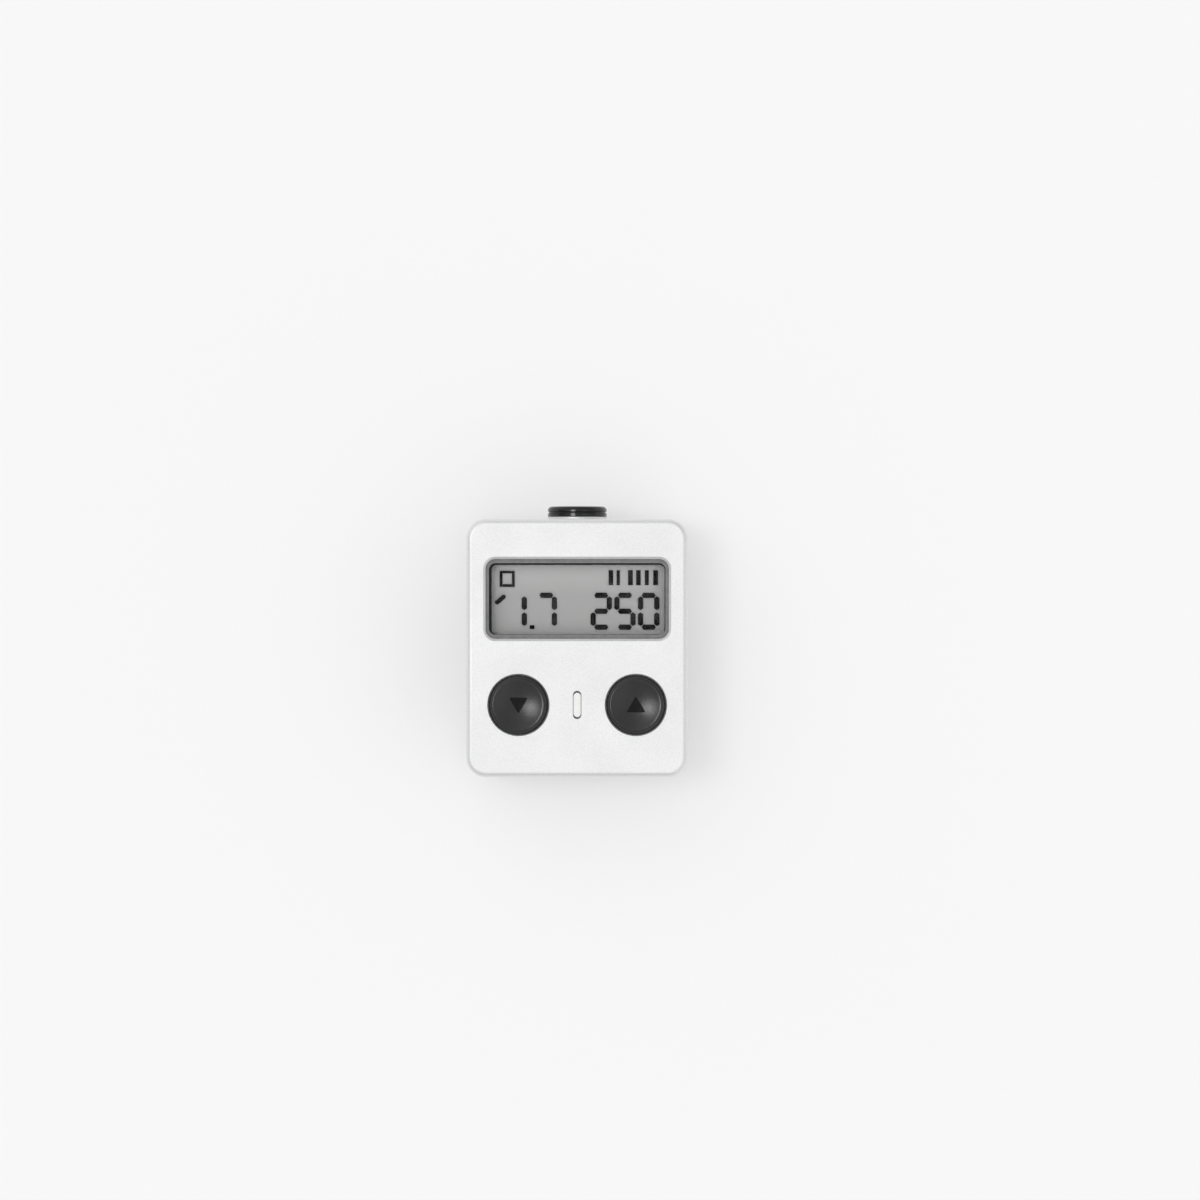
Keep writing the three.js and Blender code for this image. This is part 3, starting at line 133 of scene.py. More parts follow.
world = bpy.data.worlds.new("white_card")
world.use_nodes = True
card = world.node_tree
lit_card = card.nodes["Background"]
lit_card.inputs["Color"].default_value = (1, 1, 1, 1)
lit_card.inputs["Strength"].default_value = CARD_LIGHT
height = wired(card, "SeparateXYZ", {0: wired(card, "TexCoord", {}, "Generated")}, "Z")
seen_tone = wired(card, "ValToRGB", {0: height})
stops = seen_tone.node.color_ramp.elements
while len(stops) < len(CARD_SEEN):
    stops.new(0.5)
for stop, (at, bright) in zip(stops, CARD_SEEN):
    stop.position, stop.color = at, (bright, bright, bright, 1)
either_card = wired(card, "MixShader", {
    0: where_seen(card), 1: lit_card.outputs[0], 2: wired(card, "Background", {"Color": seen_tone})})
card.links.new(either_card, card.nodes["World Output"].inputs["Surface"])
bpy.context.scene.world = world
bpy.context.scene.view_settings.view_transform = "Standard"

floor_mesh = bpy.data.meshes.new("floor")
edge = FLOOR_SIZE / 2
floor_mesh.from_pydata(
    [(-edge, -edge, 0), (edge, -edge, 0), (edge, edge, 0), (-edge, edge, 0)], [], [(0, 1, 2, 3)])
floor = stand("floor", floor_mesh)
floor_paint = plain_finish("floor_paint", FLOOR_COLOUR, 0.9, specular_ior_level=0.1)
paint = floor_paint.node_tree
lit_floor = wired(paint, "MixShader", {
    0: wired(paint, "Math", {0: where_seen(paint), 1: FLOOR_GLOW}, operation="MULTIPLY"),
    1: paint.nodes["Principled BSDF"].outputs[0], 2: wired(paint, "Emission", {})})
paint.links.new(lit_floor, paint.nodes["Material Output"].inputs["Surface"])
floor_mesh.materials.append(floor_paint)


# Housing: one shell milled from a block of aluminium and open below, then bead-blasted and clear
# anodised to a pale matt silver. Screws run up into bosses in its corners and under its roof.
BODY_WIDTH, BODY_DEPTH, BODY_CORNER = 29.0, 33.8, 2.6
BODY_BOTTOM, BODY_TOP = 4.05, 16.75
LEFT_FACE = -BODY_WIDTH / 2
TOP_EDGE, BOTTOM_EDGE = 0.7, 0.3
WALL = 1.4
ROOM_WIDTH, ROOM_DEPTH, ROOM_CORNER = BODY_WIDTH - 2 * WALL, BODY_DEPTH - 2 * WALL, BODY_CORNER - WALL
CEILING = BODY_TOP - WALL
PLATE_TOP, REBATE = 5.55, 0.6
BOARD_TOP = 11.35
CORNER_BOSS, CORNER_SCREW_X, CORNER_SCREW_Y = 1.5, 11.9, 14.3
BOARD_BOSS = 1.25
BOARD_BOSS_PLACES = [(-12.0, -2.54), (12.0, -2.54), (0.0, -13.6)]
WINDOW_WIDTH, WINDOW_DEPTH, WINDOW_Y, WINDOW_CORNER = 24.0, 10.46, 6.44, 1.3
WINDOW_CHAMFER, WINDOW_LEDGE = 0.3, 16.05
PANE_MARGIN = 0.6
BUTTON_X, BUTTON_Y, BUTTON_HOLE, HOLE_CHAMFER = 7.69, -7.43, 3.93, 0.15
SLOT_WIDTH, SLOT_LENGTH, SLOT_CHAMFER = 1.05, 3.66, 0.06
SENSOR_Z, BARREL_HOLE = 10.4, 3.48
TRAY_SLOT_WIDTH, TRAY_SLOT_TOP, TRAY_SLOT_CORNER = 17.4, 9.85, 0.55
THREAD, THREAD_END = 0.86, 8.95
BOARD_THREAD, BOARD_THREAD_END = 0.66, 13.95
BOSS_STEPS, THREAD_STEPS = 40, 32  # faces round a boss and round a threaded hole
PANE_ROOM = 0.1  # between the pane's rim and its pocket
OVERRUN = 1.0  # how far a cutter runs past the face that it opens
SAME_POINT = 0.0002 * MM  # points closer than this are one
SILVER = (0.8, 0.8, 0.805)
SILVER_DEEP, SILVER_LIGHT = (0.76, 0.76, 0.765), (0.84, 0.84, 0.845)


def rounded_loop(width, depth, radius, steps=20):
    """Points anticlockwise round a rectangle with round corners: each corner's centre, plus the radius
    times the cosine and sine of that corner's quarter turn."""
    turn = (np.arange(4)[:, None] + np.linspace(0, 1, steps + 1)) * np.pi / 2
    centre = np.array([[1, 1], [-1, 1], [-1, -1], [1, -1]]) * (width / 2 - radius, depth / 2 - radius)
    return (centre[:, None] + radius * np.stack([np.cos(turn), np.sin(turn)], -1)).reshape(-1, 2)


def level(loop, z, x=0.0, y=0.0):
    """A flat loop moved by x and y and lifted to z, as points in space."""
    return np.column_stack([loop[:, 0] + x, loop[:, 1] + y, np.full(len(loop), z)])


def drawn_in(width, depth, radius, levels, x=0.0, y=0.0, steps=20):
    """Rings up a rounded rectangle. Each level is a height and the inset of all its sides there."""
    return np.array([
        level(rounded_loop(width - 2 * inset, depth - 2 * inset, max(radius - inset, 0), steps), z, x, y)
        for z, inset in levels])


def drawn_in_x(width, height, radius, levels, z):
    """The same along X, round a height z. Each level is an x and the inset of all the sides there."""
    rings = drawn_in(width, height, radius, levels)
    return np.stack([rings[..., 2], rings[..., 0], rings[..., 1] + z], -1)


def arc(across, up, radius, start, end, steps=8):
    """Points on a circle round (across, up), from one angle in degrees to another."""
    turn = np.radians(np.linspace(start, end, steps + 1))
    return np.column_stack([across + radius * np.cos(turn), up + radius * np.sin(turn)])


def eased(up, radius, start, end, steps, across=None):
    """Levels round an edge: the heights and insets of an arc, whose centre is a radius in if not given."""
    across = -radius if across is None else across
    return [(z, -x) for x, z in arc(across, up, radius, start, end, steps)]


def join_points(mesh, turn_outwards):
    """Makes points that coincide one, and turns the faces outwards where that is asked."""
    shape = bmesh.new()
    shape.from_mesh(mesh)
    bmesh.ops.remove_doubles(shape, verts=shape.verts, dist=SAME_POINT)
    if turn_outwards:
        bmesh.ops.recalc_face_normals(shape, faces=shape.faces)
    shape.to_mesh(mesh)
    shape.free()


def settle(name, points, faces):
    """An object of points in mm and faces, with its faces turned outwards."""
    mesh = bpy.data.meshes.new(name)
    mesh.from_pydata((np.asarray(points).reshape(-1, 3) * MM).tolist(), [], faces)
    join_points(mesh, turn_outwards=True)
    return stand(name, mesh)


def skin(name, rings, closed=False):
    """A closed surface over a grid of points: point i of ring r, with one face to each cell of the grid.
    The first and last rings are capped, or joined to each other where the rings close on themselves."""
    rings = np.asarray(rings, float)
    index = np.arange(rings.shape[0] * rings.shape[1]).reshape(rings.shape[:2])
    here = index if closed else index[:-1]
    above = np.roll(index, -1, 0) if closed else index[1:]
    cells = np.stack([here, np.roll(here, -1, 1), np.roll(above, -1, 1), above], -1).reshape(-1, 4)
    caps = [] if closed else [index[0, ::-1].tolist(), index[-1].tolist()]
    return settle(name, rings, cells.tolist() + caps)


def turned_rings(profile, x=0.0, y=0.0, steps=96):
    """Rings about an upright axis at x and y: radius times the cosine and sine of the angle, at the height,
    for each radius and height of the profile."""
    turn = np.linspace(0, 2 * np.pi, steps, endpoint=False)
    radius, height = np.asarray(profile, float).T[:, :, None]
    return np.stack([x + radius * np.cos(turn), y + radius * np.sin(turn), height + 0 * turn], -1)


def peg_rings(radius, bottom, top, x=0.0, y=0.0, steps=96):
    """Rings of a plain round peg on an upright axis, closed to a point at both ends."""
    return turned_rings([(0, bottom), (radius, bottom), (radius, top), (0, top)], x, y, steps)


def about_y(rings, z):
    """The same rings about an axis along Y at height z: what was height becomes the distance forward."""
    return np.stack([rings[..., 0], rings[..., 2], z - rings[..., 1]], -1)


def carve(work, tools, operation="DIFFERENCE"):
    """The work with each tool cut out of it, or joined to it. The tools are used up."""
    for tool in tools:
        step = work.modifiers.new(tool.name, "BOOLEAN")
        step.object, step.operation, step.solver = tool, operation, "EXACT"
    bpy.context.view_layer.update()
    shaped = bpy.data.meshes.new_from_object(work.evaluated_get(bpy.context.evaluated_depsgraph_get()))
    work.modifiers.clear()
    join_points(shaped, turn_outwards=False)
    blank, work.data = work.data, shaped
    bpy.data.meshes.remove(blank)
    for tool in tools:
        bpy.data.meshes.remove(tool.data)
    return work


def dress(made, finish, sharp=32):
    """Gives a piece its finish, and smooth shading that breaks at edges sharper than an angle in degrees.
    Large flat faces keep their own normals."""
    made.data.materials.clear()
    made.data.materials.append(finish)
    made.data.shade_smooth()
    made.data.set_sharp_from_angle(angle=math.radians(sharp))
    flats = made.modifiers.new("flats", "WEIGHTED_NORMAL")
    flats.keep_sharp = True
    return made


def feed(finish, socket, output):
    """Wires an output to a socket of the finish's own shader."""
    finish.node_tree.links.new(output, finish.node_tree.nodes["Principled BSDF"].inputs[socket])


def on_surface(finish, stretch=(1, 1, 1), centre=(0, 0, 0)):
    """The piece's own coordinates in metres, moved to a centre and stretched."""
    tree = finish.node_tree
    place = wired(tree, "TexCoord", {}, "Object")
    moved = wired(tree, "VectorMath", {0: place, 1: centre}, operation="SUBTRACT")
    return wired(tree, "VectorMath", {0: moved, 1: stretch}, operation="MULTIPLY")


def spread(finish, pattern, low=0.0, high=1.0, start=0.0, end=1.0):
    """A pattern drawn out so that it goes from low to high while it was going from start to end."""
    return wired(finish.node_tree, "MapRange", {
        "Value": pattern, "From Min": start, "From Max": end, "To Min": low, "To Max": high})


def grain(finish, size, stretch=(1, 1, 1), detail=2.0, on=None):
    """Cloudy noise whose lumps are about size mm across, brought to run from 0 to 1."""
    noise = wired(finish.node_tree, "TexNoise", {
        "Vector": on or on_surface(finish, stretch), "Scale": 1 / (size * MM), "Detail": detail}, "Fac")
    return spread(finish, noise, start=0.3, end=0.7)


def vary(finish, pattern, low, high):
    """Makes the roughness run from low to high with a pattern."""
    feed(finish, "Roughness", spread(finish, pattern, low, high))


def blend_colours(finish, pattern, low, high):
    """A colour that runs from low to high with a pattern. Either end may be a colour or another output."""
    low, high = ((*end, 1) if isinstance(end, tuple) else end for end in (low, high))
    return wired(finish.node_tree, "Mix", {0: pattern, 6: low, 7: high}, 2, data_type="RGBA")


def tint(finish, pattern, low, high):
    """Makes the finish's colour run from low to high with a pattern."""
    feed(finish, "Base Color", blend_colours(finish, pattern, low, high))


def emboss(finish, pattern, height):
    """Raises the surface by up to height mm where a pattern is high, on top of what is raised already."""
    raised = {"Height": pattern, "Distance": height * MM}
    below = finish.node_tree.nodes["Principled BSDF"].inputs["Normal"]
    if below.is_linked:
        raised["Normal"] = below.links[0].from_socket
    feed(finish, "Normal", wired(finish.node_tree, "Bump", raised))


def bead_blasted(name):
    """Pale aluminium: fine pits from the beads, a coarser mottle, and faint clouds from handling."""
    finish = plain_finish(name, SILVER, 0.47, 0.75)
    tint(finish, grain(finish, 0.16), SILVER_DEEP, SILVER_LIGHT)
    vary(finish, grain(finish, 5.0), 0.44, 0.5)
    for pit_size in (0.22, 0.09):
        emboss(finish, grain(finish, pit_size, detail=1), 0.004)
    return finish


silver_shell = bead_blasted("silver_shell")

housing = skin("silver_housing", drawn_in(BODY_WIDTH, BODY_DEPTH, BODY_CORNER, [
    (BODY_BOTTOM, BOTTOM_EDGE), (BODY_BOTTOM + BOTTOM_EDGE, 0),
    *eased(BODY_TOP - TOP_EDGE, TOP_EDGE, 0, 90, 12)], steps=28))
carve(housing, [
    skin("room", drawn_in(ROOM_WIDTH, ROOM_DEPTH, ROOM_CORNER, [(BODY_BOTTOM - OVERRUN, 0), (CEILING, 0)])),
    skin("rebate", drawn_in(ROOM_WIDTH, ROOM_DEPTH, ROOM_CORNER, [
        (BODY_BOTTOM - OVERRUN, -REBATE), (PLATE_TOP, -REBATE)])),
])
corner_places = [
    (x, y) for x in (-CORNER_SCREW_X, CORNER_SCREW_X) for y in (-CORNER_SCREW_Y, CORNER_SCREW_Y)]
rooted = CEILING + WALL / 2
carve(housing, [
    *(skin("corner_boss", peg_rings(CORNER_BOSS, PLATE_TOP, rooted, x, y, BOSS_STEPS))
      for x, y in corner_places),
    *(skin("board_boss", peg_rings(BOARD_BOSS, BOARD_TOP, rooted, x, y, BOSS_STEPS))
      for x, y in BOARD_BOSS_PLACES),
], "UNION")


def window_rings(levels, narrower=0.0, x=0.0, y=0.0):
    """Rings up the window's outline, narrower at front and rear where asked, and moved by x and y."""
    return drawn_in(WINDOW_WIDTH, WINDOW_DEPTH - 2 * narrower, WINDOW_CORNER, levels, x, WINDOW_Y + y)


def flared(chamfer):
    """Levels up through the roof for an opening whose rim has a chamfer."""
    return [(CEILING - OVERRUN, 0), (BODY_TOP - chamfer, 0), (BODY_TOP + OVERRUN, -chamfer - OVERRUN)]


hole_profile = [
    (0, CEILING - OVERRUN), *((BUTTON_HOLE - inset, z) for z, inset in flared(HOLE_CHAMFER)),
    (0, BODY_TOP + OVERRUN)]
carve(housing, [
    skin("window", window_rings(flared(WINDOW_CHAMFER))),
    skin("pane_pocket", drawn_in(
        WINDOW_WIDTH + 2 * (PANE_MARGIN + PANE_ROOM), WINDOW_DEPTH + 2 * (PANE_MARGIN + PANE_ROOM),
        WINDOW_CORNER + PANE_MARGIN, [(CEILING - OVERRUN, 0), (WINDOW_LEDGE, 0)], y=WINDOW_Y)),
    skin("left_hole", turned_rings(hole_profile, -BUTTON_X, BUTTON_Y)),
    skin("right_hole", turned_rings(hole_profile, BUTTON_X, BUTTON_Y)),
    skin("light_slot", drawn_in(
        SLOT_WIDTH, SLOT_LENGTH, SLOT_WIDTH / 2, flared(SLOT_CHAMFER), y=BUTTON_Y)),
    skin("barrel_hole", about_y(peg_rings(
        BARREL_HOLE, BODY_DEPTH / 2 - WALL - OVERRUN, BODY_DEPTH / 2 + OVERRUN), SENSOR_Z)),
    skin("tray_slot", drawn_in_x(
        TRAY_SLOT_WIDTH, TRAY_SLOT_TOP - PLATE_TOP, TRAY_SLOT_CORNER,
        [(LEFT_FACE - OVERRUN, 0), (LEFT_FACE + WALL + OVERRUN, 0)],
        (PLATE_TOP + TRAY_SLOT_TOP) / 2)),
    *(skin("thread", peg_rings(THREAD, PLATE_TOP - OVERRUN, THREAD_END, x, y, THREAD_STEPS))
      for x, y in corner_places),
    *(skin("thread", peg_rings(BOARD_THREAD, BOARD_TOP - OVERRUN, BOARD_THREAD_END, x, y, THREAD_STEPS))
      for x, y in BOARD_BOSS_PLACES),
])
dress(housing, silver_shell)
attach(housing, "case")
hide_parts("housing")


# Window: a clear acrylic pane with a rubber gasket round its upper face, both pushed up against the
# housing's lip from inside. A thin black border on the pane just inside the gasket is print and painted
# shade: its width is uneven, broad at the left, narrower at the front, thin at the right and all but gone at
# the rear, where the shade in the window's recess falls.
PANE_BOTTOM, PANE_TOP, PANE_EDGE = 15.05, 15.85, 0.08
GASKET_SHOWS, GASKET_RIM = 0.45, 0.06
GASKET_MORE = 0.1  # how much more of it shows along its long sides
BORDER_SHOWS, BORDER_THICKNESS = 0.68, 0.012
BORDER_RIGHT, BORDER_LOW = 0.12, 0.1  # how far its inner outline stands off the window's middle, which paints the recess's shade into the border's width


def clear_finish(name, tinted, roughness, head_on):
    """A see-through sheet and its gloss's socket. It lets light through with a tint and mirrors a share:
    head on, the share given, and rising to all by the fifth power of one less the cosine of the angle."""
    finish = bpy.data.materials.new(name)
    finish.use_nodes = True
    tree = finish.node_tree
    tree.nodes.remove(tree.nodes["Principled BSDF"])
    aslant = wired(tree, "LayerWeight", {}, "Facing")
    grazing = wired(tree, "Math", {0: aslant, 1: 5}, operation="POWER")
    through = wired(tree, "BsdfTransparent", {"Color": (*tinted, 1)})
    gloss = wired(tree, "BsdfGlossy", {"Roughness": roughness})
    both = wired(tree, "MixShader", {0: spread(finish, grazing, head_on), 1: through, 2: gloss})
    tree.links.new(both, tree.nodes["Material Output"].inputs["Surface"])
    return finish, gloss.node.inputs["Roughness"]


pane_clear, pane_gloss = clear_finish("pane_clear", (0.99, 0.99, 0.99), 0.03, 0.004)
rub_marks = spread(pane_clear, grain(pane_clear, 2.5, (1, 0.3, 1), 5), 0.02, 0.09)
pane_clear.node_tree.links.new(rub_marks, pane_gloss)

pane = skin("clear_pane", window_rings([
    (PANE_BOTTOM, -PANE_MARGIN), (PANE_TOP - PANE_EDGE, -PANE_MARGIN), (PANE_TOP, PANE_EDGE - PANE_MARGIN)]))
dress(pane, pane_clear)
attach(pane, "case")
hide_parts("window_pane")

gasket_grey = plain_finish("gasket_grey", (0.2, 0.2, 0.202), 0.75)
tint(gasket_grey, grain(gasket_grey, 0.8, detail=3), (0.18, 0.18, 0.182), (0.23, 0.23, 0.232))
emboss(gasket_grey, grain(gasket_grey, 0.15), 0.004)
vary(gasket_grey, grain(gasket_grey, 1.5), 0.65, 0.85)
gasket = skin("window_gasket_ring", np.concatenate([
    window_rings([(PANE_TOP, -PANE_MARGIN), (WINDOW_LEDGE, -PANE_MARGIN)]),
    window_rings([
        (WINDOW_LEDGE, GASKET_SHOWS - GASKET_RIM), (WINDOW_LEDGE - GASKET_RIM, GASKET_SHOWS),
        (PANE_TOP, GASKET_SHOWS)], GASKET_MORE),
]), closed=True)
dress(gasket, gasket_grey)
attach(gasket, "case")
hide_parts("window_gasket")

border_black = plain_finish("border_black", (0.006, 0.006, 0.006), 0.5, specular_ior_level=0.2)
vary(border_black, grain(border_black, 0.6), 0.42, 0.6)
border_low, border_high = PANE_TOP - BORDER_THICKNESS / 4, PANE_TOP + BORDER_THICKNESS
# Painted shade: the border's inner outline is set off to the right and rearwards, so that the black shows
# where the window's recess is in shade.
border = skin("printed_border_and_shade", np.concatenate([
    window_rings([(border_low, GASKET_SHOWS), (border_high, GASKET_SHOWS)], GASKET_MORE),
    window_rings([(border_high, BORDER_SHOWS), (border_low, BORDER_SHOWS)], 0, BORDER_RIGHT, -BORDER_LOW),
]), closed=True)
dress(border, border_black)
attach(border, "case")


# Liquid-crystal cell: two plates of glass with a grey film on each side. Dark segments stand between
# the plates, a little above the silver-grey reflector, and all of it drops into a moulded holder.
GLASS_WIDTH, GLASS_FRONT, REAR_GLASS_REAR, FRONT_GLASS_REAR = 24.6, 11.97, 0.91, -0.49
GLASS_CORNER, FILM_INSET = 0.15, 0.25
REFLECTOR_BOTTOM, REAR_GLASS_BOTTOM = 13.05, 13.25
REFLECTOR_SEEN, GLASS_SEEN = 14.3, 14.5  # glass makes what lies in it and under it look nearer
POLARISER_BOTTOM, POLARISER_TOP = 14.65, 14.85
SEGMENT_BOTTOM, SEGMENT_TOP = 14.4, 14.44
DIGIT_Y, DIGIT_WIDTH, DIGIT_HEIGHT, STROKE, STROKE_GAP = 4.83, 2.8, 4.85, 0.68, 0.15
DIGITS = {-8.0: "1", -4.05: "7", 3.15: "2", 6.26: "5", 9.37: "0"}  # by the place of each one's middle
LIT = {"1": "bc", "7": "abc", "2": "abged", "5": "afgcd", "0": "abcdef"}
BAR_ROW = [(4.42, 0.58), (5.38, 0.42), (6.98, 0.62), (8.02, 0.58), (9.12, 0.5), (10.28, 0.62)]  # x, width
BAR_ROW_LOW, BAR_ROW_HIGH = 8.25, 10.2
MASK_ROOM, MASK_CORNER, MASK_THICKNESS, MASK_EDGE = (0.05, 0.03), 0.1, 0.05, 0.01
ZEBRA_LAYER = 0.18
WAVE_LENGTH = 0.314  # of the wave pattern at a scale of one, in metres


def glass_levels(z_and_insets, rear):
    """Rings up a plate of the display's glass whose rear edge is at rear."""
    return drawn_in(
        GLASS_WIDTH, GLASS_FRONT - rear, GLASS_CORNER, z_and_insets, y=(GLASS_FRONT + rear) / 2, steps=4)


front_cover, front_gloss = clear_finish("display_glass", (0.98, 0.98, 0.98), 0.2, 0.002)
satin = spread(front_cover, grain(front_cover, 0.08, detail=1), 0.15, 0.3)
front_cover.node_tree.links.new(satin, front_gloss)

display_front = skin("display_front", np.concatenate([
    glass_levels([(GLASS_SEEN, 0), (POLARISER_BOTTOM, 0)], FRONT_GLASS_REAR),
    glass_levels([(POLARISER_BOTTOM, FILM_INSET), (POLARISER_TOP, FILM_INSET)], REAR_GLASS_REAR),
]))
dress(display_front, front_cover)
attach(display_front, "case")
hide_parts("lcd_front_glass", "lcd_polariser")


def coordinate(finish, axis):
    """The piece's own place along one axis, in metres."""
    return wired(finish.node_tree, "SeparateXYZ", {0: on_surface(finish)}, axis)


film_grey = plain_finish("film_grey", (0.48, 0.48, 0.48), 0.5, specular_ior_level=0.3)
speckle = blend_colours(film_grey, grain(film_grey, 0.07), (0.44, 0.44, 0.438), (0.5, 0.5, 0.498))
# Painted light: the film is painted lighter towards the front, from 7 to 11 mm, to make up for the shade
# that the window's lip casts on it there.
painted_light_frontwards = spread(film_grey, coordinate(film_grey, "Y"), start=7 * MM, end=11 * MM)
tint(film_grey, painted_light_frontwards, speckle, (0.64, 0.64, 0.638))
emboss(film_grey, grain(film_grey, 0.07), 0.003)
display_back = skin("display_back", np.concatenate([
    glass_levels([(REFLECTOR_BOTTOM, FILM_INSET), (REAR_GLASS_BOTTOM, FILM_INSET)], REAR_GLASS_REAR),
    glass_levels([(REAR_GLASS_BOTTOM, 0), (REFLECTOR_SEEN, 0)], REAR_GLASS_REAR),
]))
dress(display_back, film_grey)
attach(display_back, "case")
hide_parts("lcd_rear_glass", "lcd_reflector")


def strokes(starts, ends, width):
    """Six-sided bars with blunt points: each runs from its start to its end, and half the width to each
    side of that line between two shoulders, which lie a third of the width in from the points."""
    starts, ends = np.asarray(starts, float), np.asarray(ends, float)
    along = (ends - starts) / np.linalg.norm(ends - starts, axis=1, keepdims=True) * width / 3
    aside = 1.5 * np.stack([-along[:, 1], along[:, 0]], -1)
    return np.stack([starts, starts + along - aside, ends - along - aside, ends,
                     ends - along + aside, starts + along + aside], 1)


def plates(name, outlines, bottom, top):
    """Flat plates on outlines of equal count: each outline at the bottom, joined to itself at the top."""
    points = np.stack([np.insert(outlines, 2, z, -1) for z in (bottom, top)], 1)
    index = np.arange(points[..., 0].size).reshape(points.shape[:3])
    low, high = index[:, 0], index[:, 1]
    sides = np.stack([low, np.roll(low, -1, 1), np.roll(high, -1, 1), high], -1).reshape(-1, 4)
    return settle(name, points, sides.tolist() + low[:, ::-1].tolist() + high.tolist())


segment_ends = np.array([DIGIT_WIDTH - STROKE, DIGIT_HEIGHT - STROKE]) / 2 * [
    ((-1, 1), (1, 1)), ((1, 1), (1, 0)), ((1, 0), (1, -1)), ((1, -1), (-1, -1)), ((-1, -1), (-1, 0)),
    ((-1, 0), (-1, 1)), ((-1, 0), (1, 0))]
lit_ends = np.array([
    segment_ends["abcdefg".index(letter)] + (x, DIGIT_Y)
    for x, digit in DIGITS.items() for letter in LIT[digit]])
lit_way = lit_ends[:, 1] - lit_ends[:, 0]
lit_way *= STROKE_GAP / np.linalg.norm(lit_way, axis=1, keepdims=True)
digit_bars = strokes(lit_ends[:, 0] + lit_way, lit_ends[:, 1] - lit_way, STROKE)


def upright_bars(x_and_widths, bottom, top):
    """Rectangles, as six-point outlines, between two heights: each at its x with its width."""
    x, width = np.array(x_and_widths, float).T
    across = np.stack([x - width / 2, x, x + width / 2, x + width / 2, x, x - width / 2], 1)
    up = np.broadcast_to([bottom] * 3 + [top] * 3, across.shape)
    return np.stack([across, up], -1)


marks = np.concatenate([
    upright_bars(BAR_ROW, BAR_ROW_LOW, BAR_ROW_HIGH),
    upright_bars([(-9.98, 0.36), (-8.38, 0.36)], 8.02, 10.12),  # the two sides of a square
    upright_bars([(-9.18, 1.2)], 9.8, 10.12),  # its top
    upright_bars([(-9.18, 1.2)], 8.02, 8.38),  # its bottom
    upright_bars([(-5.92, 0.62)], 2.5, 3.0),  # a dot
    strokes([(-10.72, 5.78)], [(-9.42, 6.92)], 0.56),  # a pointer
])
segment_ink = plain_finish("segment_ink", (0.01, 0.01, 0.011), 0.6, specular_ior_level=0.05)
tint(segment_ink, grain(segment_ink, 1.8, detail=1), (0.001, 0.001, 0.0012), (0.035, 0.035, 0.036))
segments = plates("display_segments", np.concatenate([digit_bars, marks]), SEGMENT_BOTTOM, SEGMENT_TOP)
dress(segments, segment_ink)
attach(segments, "case")

ledge_mask = skin("ledge_mask", drawn_in(
    GLASS_WIDTH - 2 * MASK_ROOM[0], REAR_GLASS_REAR - FRONT_GLASS_REAR - 2 * MASK_ROOM[1], MASK_CORNER,
    [(REFLECTOR_SEEN - MASK_THICKNESS, 0), (REFLECTOR_SEEN - MASK_EDGE, 0), (REFLECTOR_SEEN, MASK_EDGE)],
    y=(REAR_GLASS_REAR + FRONT_GLASS_REAR) / 2, steps=4))
dress(ledge_mask, border_black)
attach(ledge_mask, "case")


def finish_node(names, finish):
    """Gives solids of the frame that keep their shape a finish of their own."""
    for name in names:
        solids[name].data.materials.clear()
        solids[name].data.materials.append(finish)


def moulded_black(name, colour, low, high):
    """Black plastic from an eroded mould: a fine even grain, and a gloss that changes a little."""
    finish = plain_finish(name, colour, (low + high) / 2)
    tint(finish, grain(finish, 0.5, detail=3), colour, tuple(1.25 * part for part in colour))
    vary(finish, grain(finish, 0.5), low, high)
    emboss(finish, grain(finish, 0.1, detail=1), 0.004)
    return finish


black_plastic = moulded_black("black_plastic", (0.016, 0.016, 0.018), 0.42, 0.6)
finish_node(["lcd_holder"], black_plastic)

zebra_rubber = plain_finish("zebra_rubber", (0.2, 0.2, 0.21), 0.7)
layers = wired(zebra_rubber.node_tree, "TexWave", {
    "Vector": on_surface(zebra_rubber), "Scale": WAVE_LENGTH / (2 * ZEBRA_LAYER * MM)},
    "Fac", bands_direction="X")
tint(zebra_rubber, layers, (0.05, 0.05, 0.055), (0.42, 0.42, 0.43))
finish_node(["zebra_strip"], zebra_rubber)


# Buttons: turned caps of dark grey anodised metal, dished for a finger, with a flange below the roof
# that keeps each one in. Each cap carries a printed black triangle and drops in from inside.
PLUNGER_TOP, FLANGE_BOTTOM, FLANGE_TOP, CAP_TOP = 13.75, 14.6, 15.3, 17.35
NUB, FLANGE, CAP, CAP_EDGE, CAP_DISH = 1.1, 4.43, 3.68, 0.4, 0.46
DISH_RADIUS = CAP - CAP_EDGE
MARK_WIDTH, MARK_HEIGHT, MARK_BLUNT, MARK_SHIFT = 2.5, 2.1, 0.25, 0.1
MARK_THICKNESS, MARK_SUNK = 0.012, 0.003
BUTTON_GREY, BUTTON_GREY_LIGHT = (0.004, 0.004, 0.0045), (0.008, 0.008, 0.0085)


def dish(radius):
    """The height of a button's dished face at a distance from its axis: a shallow bowl, square-law."""
    return CAP_TOP - CAP_DISH * (1 - (radius / DISH_RADIUS) ** 2)


def from_axis(finish, middle, aside):
    """The distance in metres from upright axes that stand aside of a middle, one on each of its sides: the
    length of what is left when the offset aside is taken from the size of the offset from the middle."""
    tree = finish.node_tree
    place = on_surface(finish, (1, 1, 0), (middle[0] * MM, middle[1] * MM, 0))
    folded = wired(tree, "VectorMath", {0: place}, operation="ABSOLUTE")
    axis = (aside[0] * MM, aside[1] * MM, 0)
    offset = wired(tree, "VectorMath", {0: folded, 1: axis}, operation="SUBTRACT")
    return wired(tree, "VectorMath", {0: offset}, "Value", operation="LENGTH")


def turning_marks(finish, distance, size):
    """Rings left by the tool in the lathe: noise along the distance from the axis alone."""
    return grain(finish, size, on=wired(finish.node_tree, "CombineXYZ", {"X": distance}))


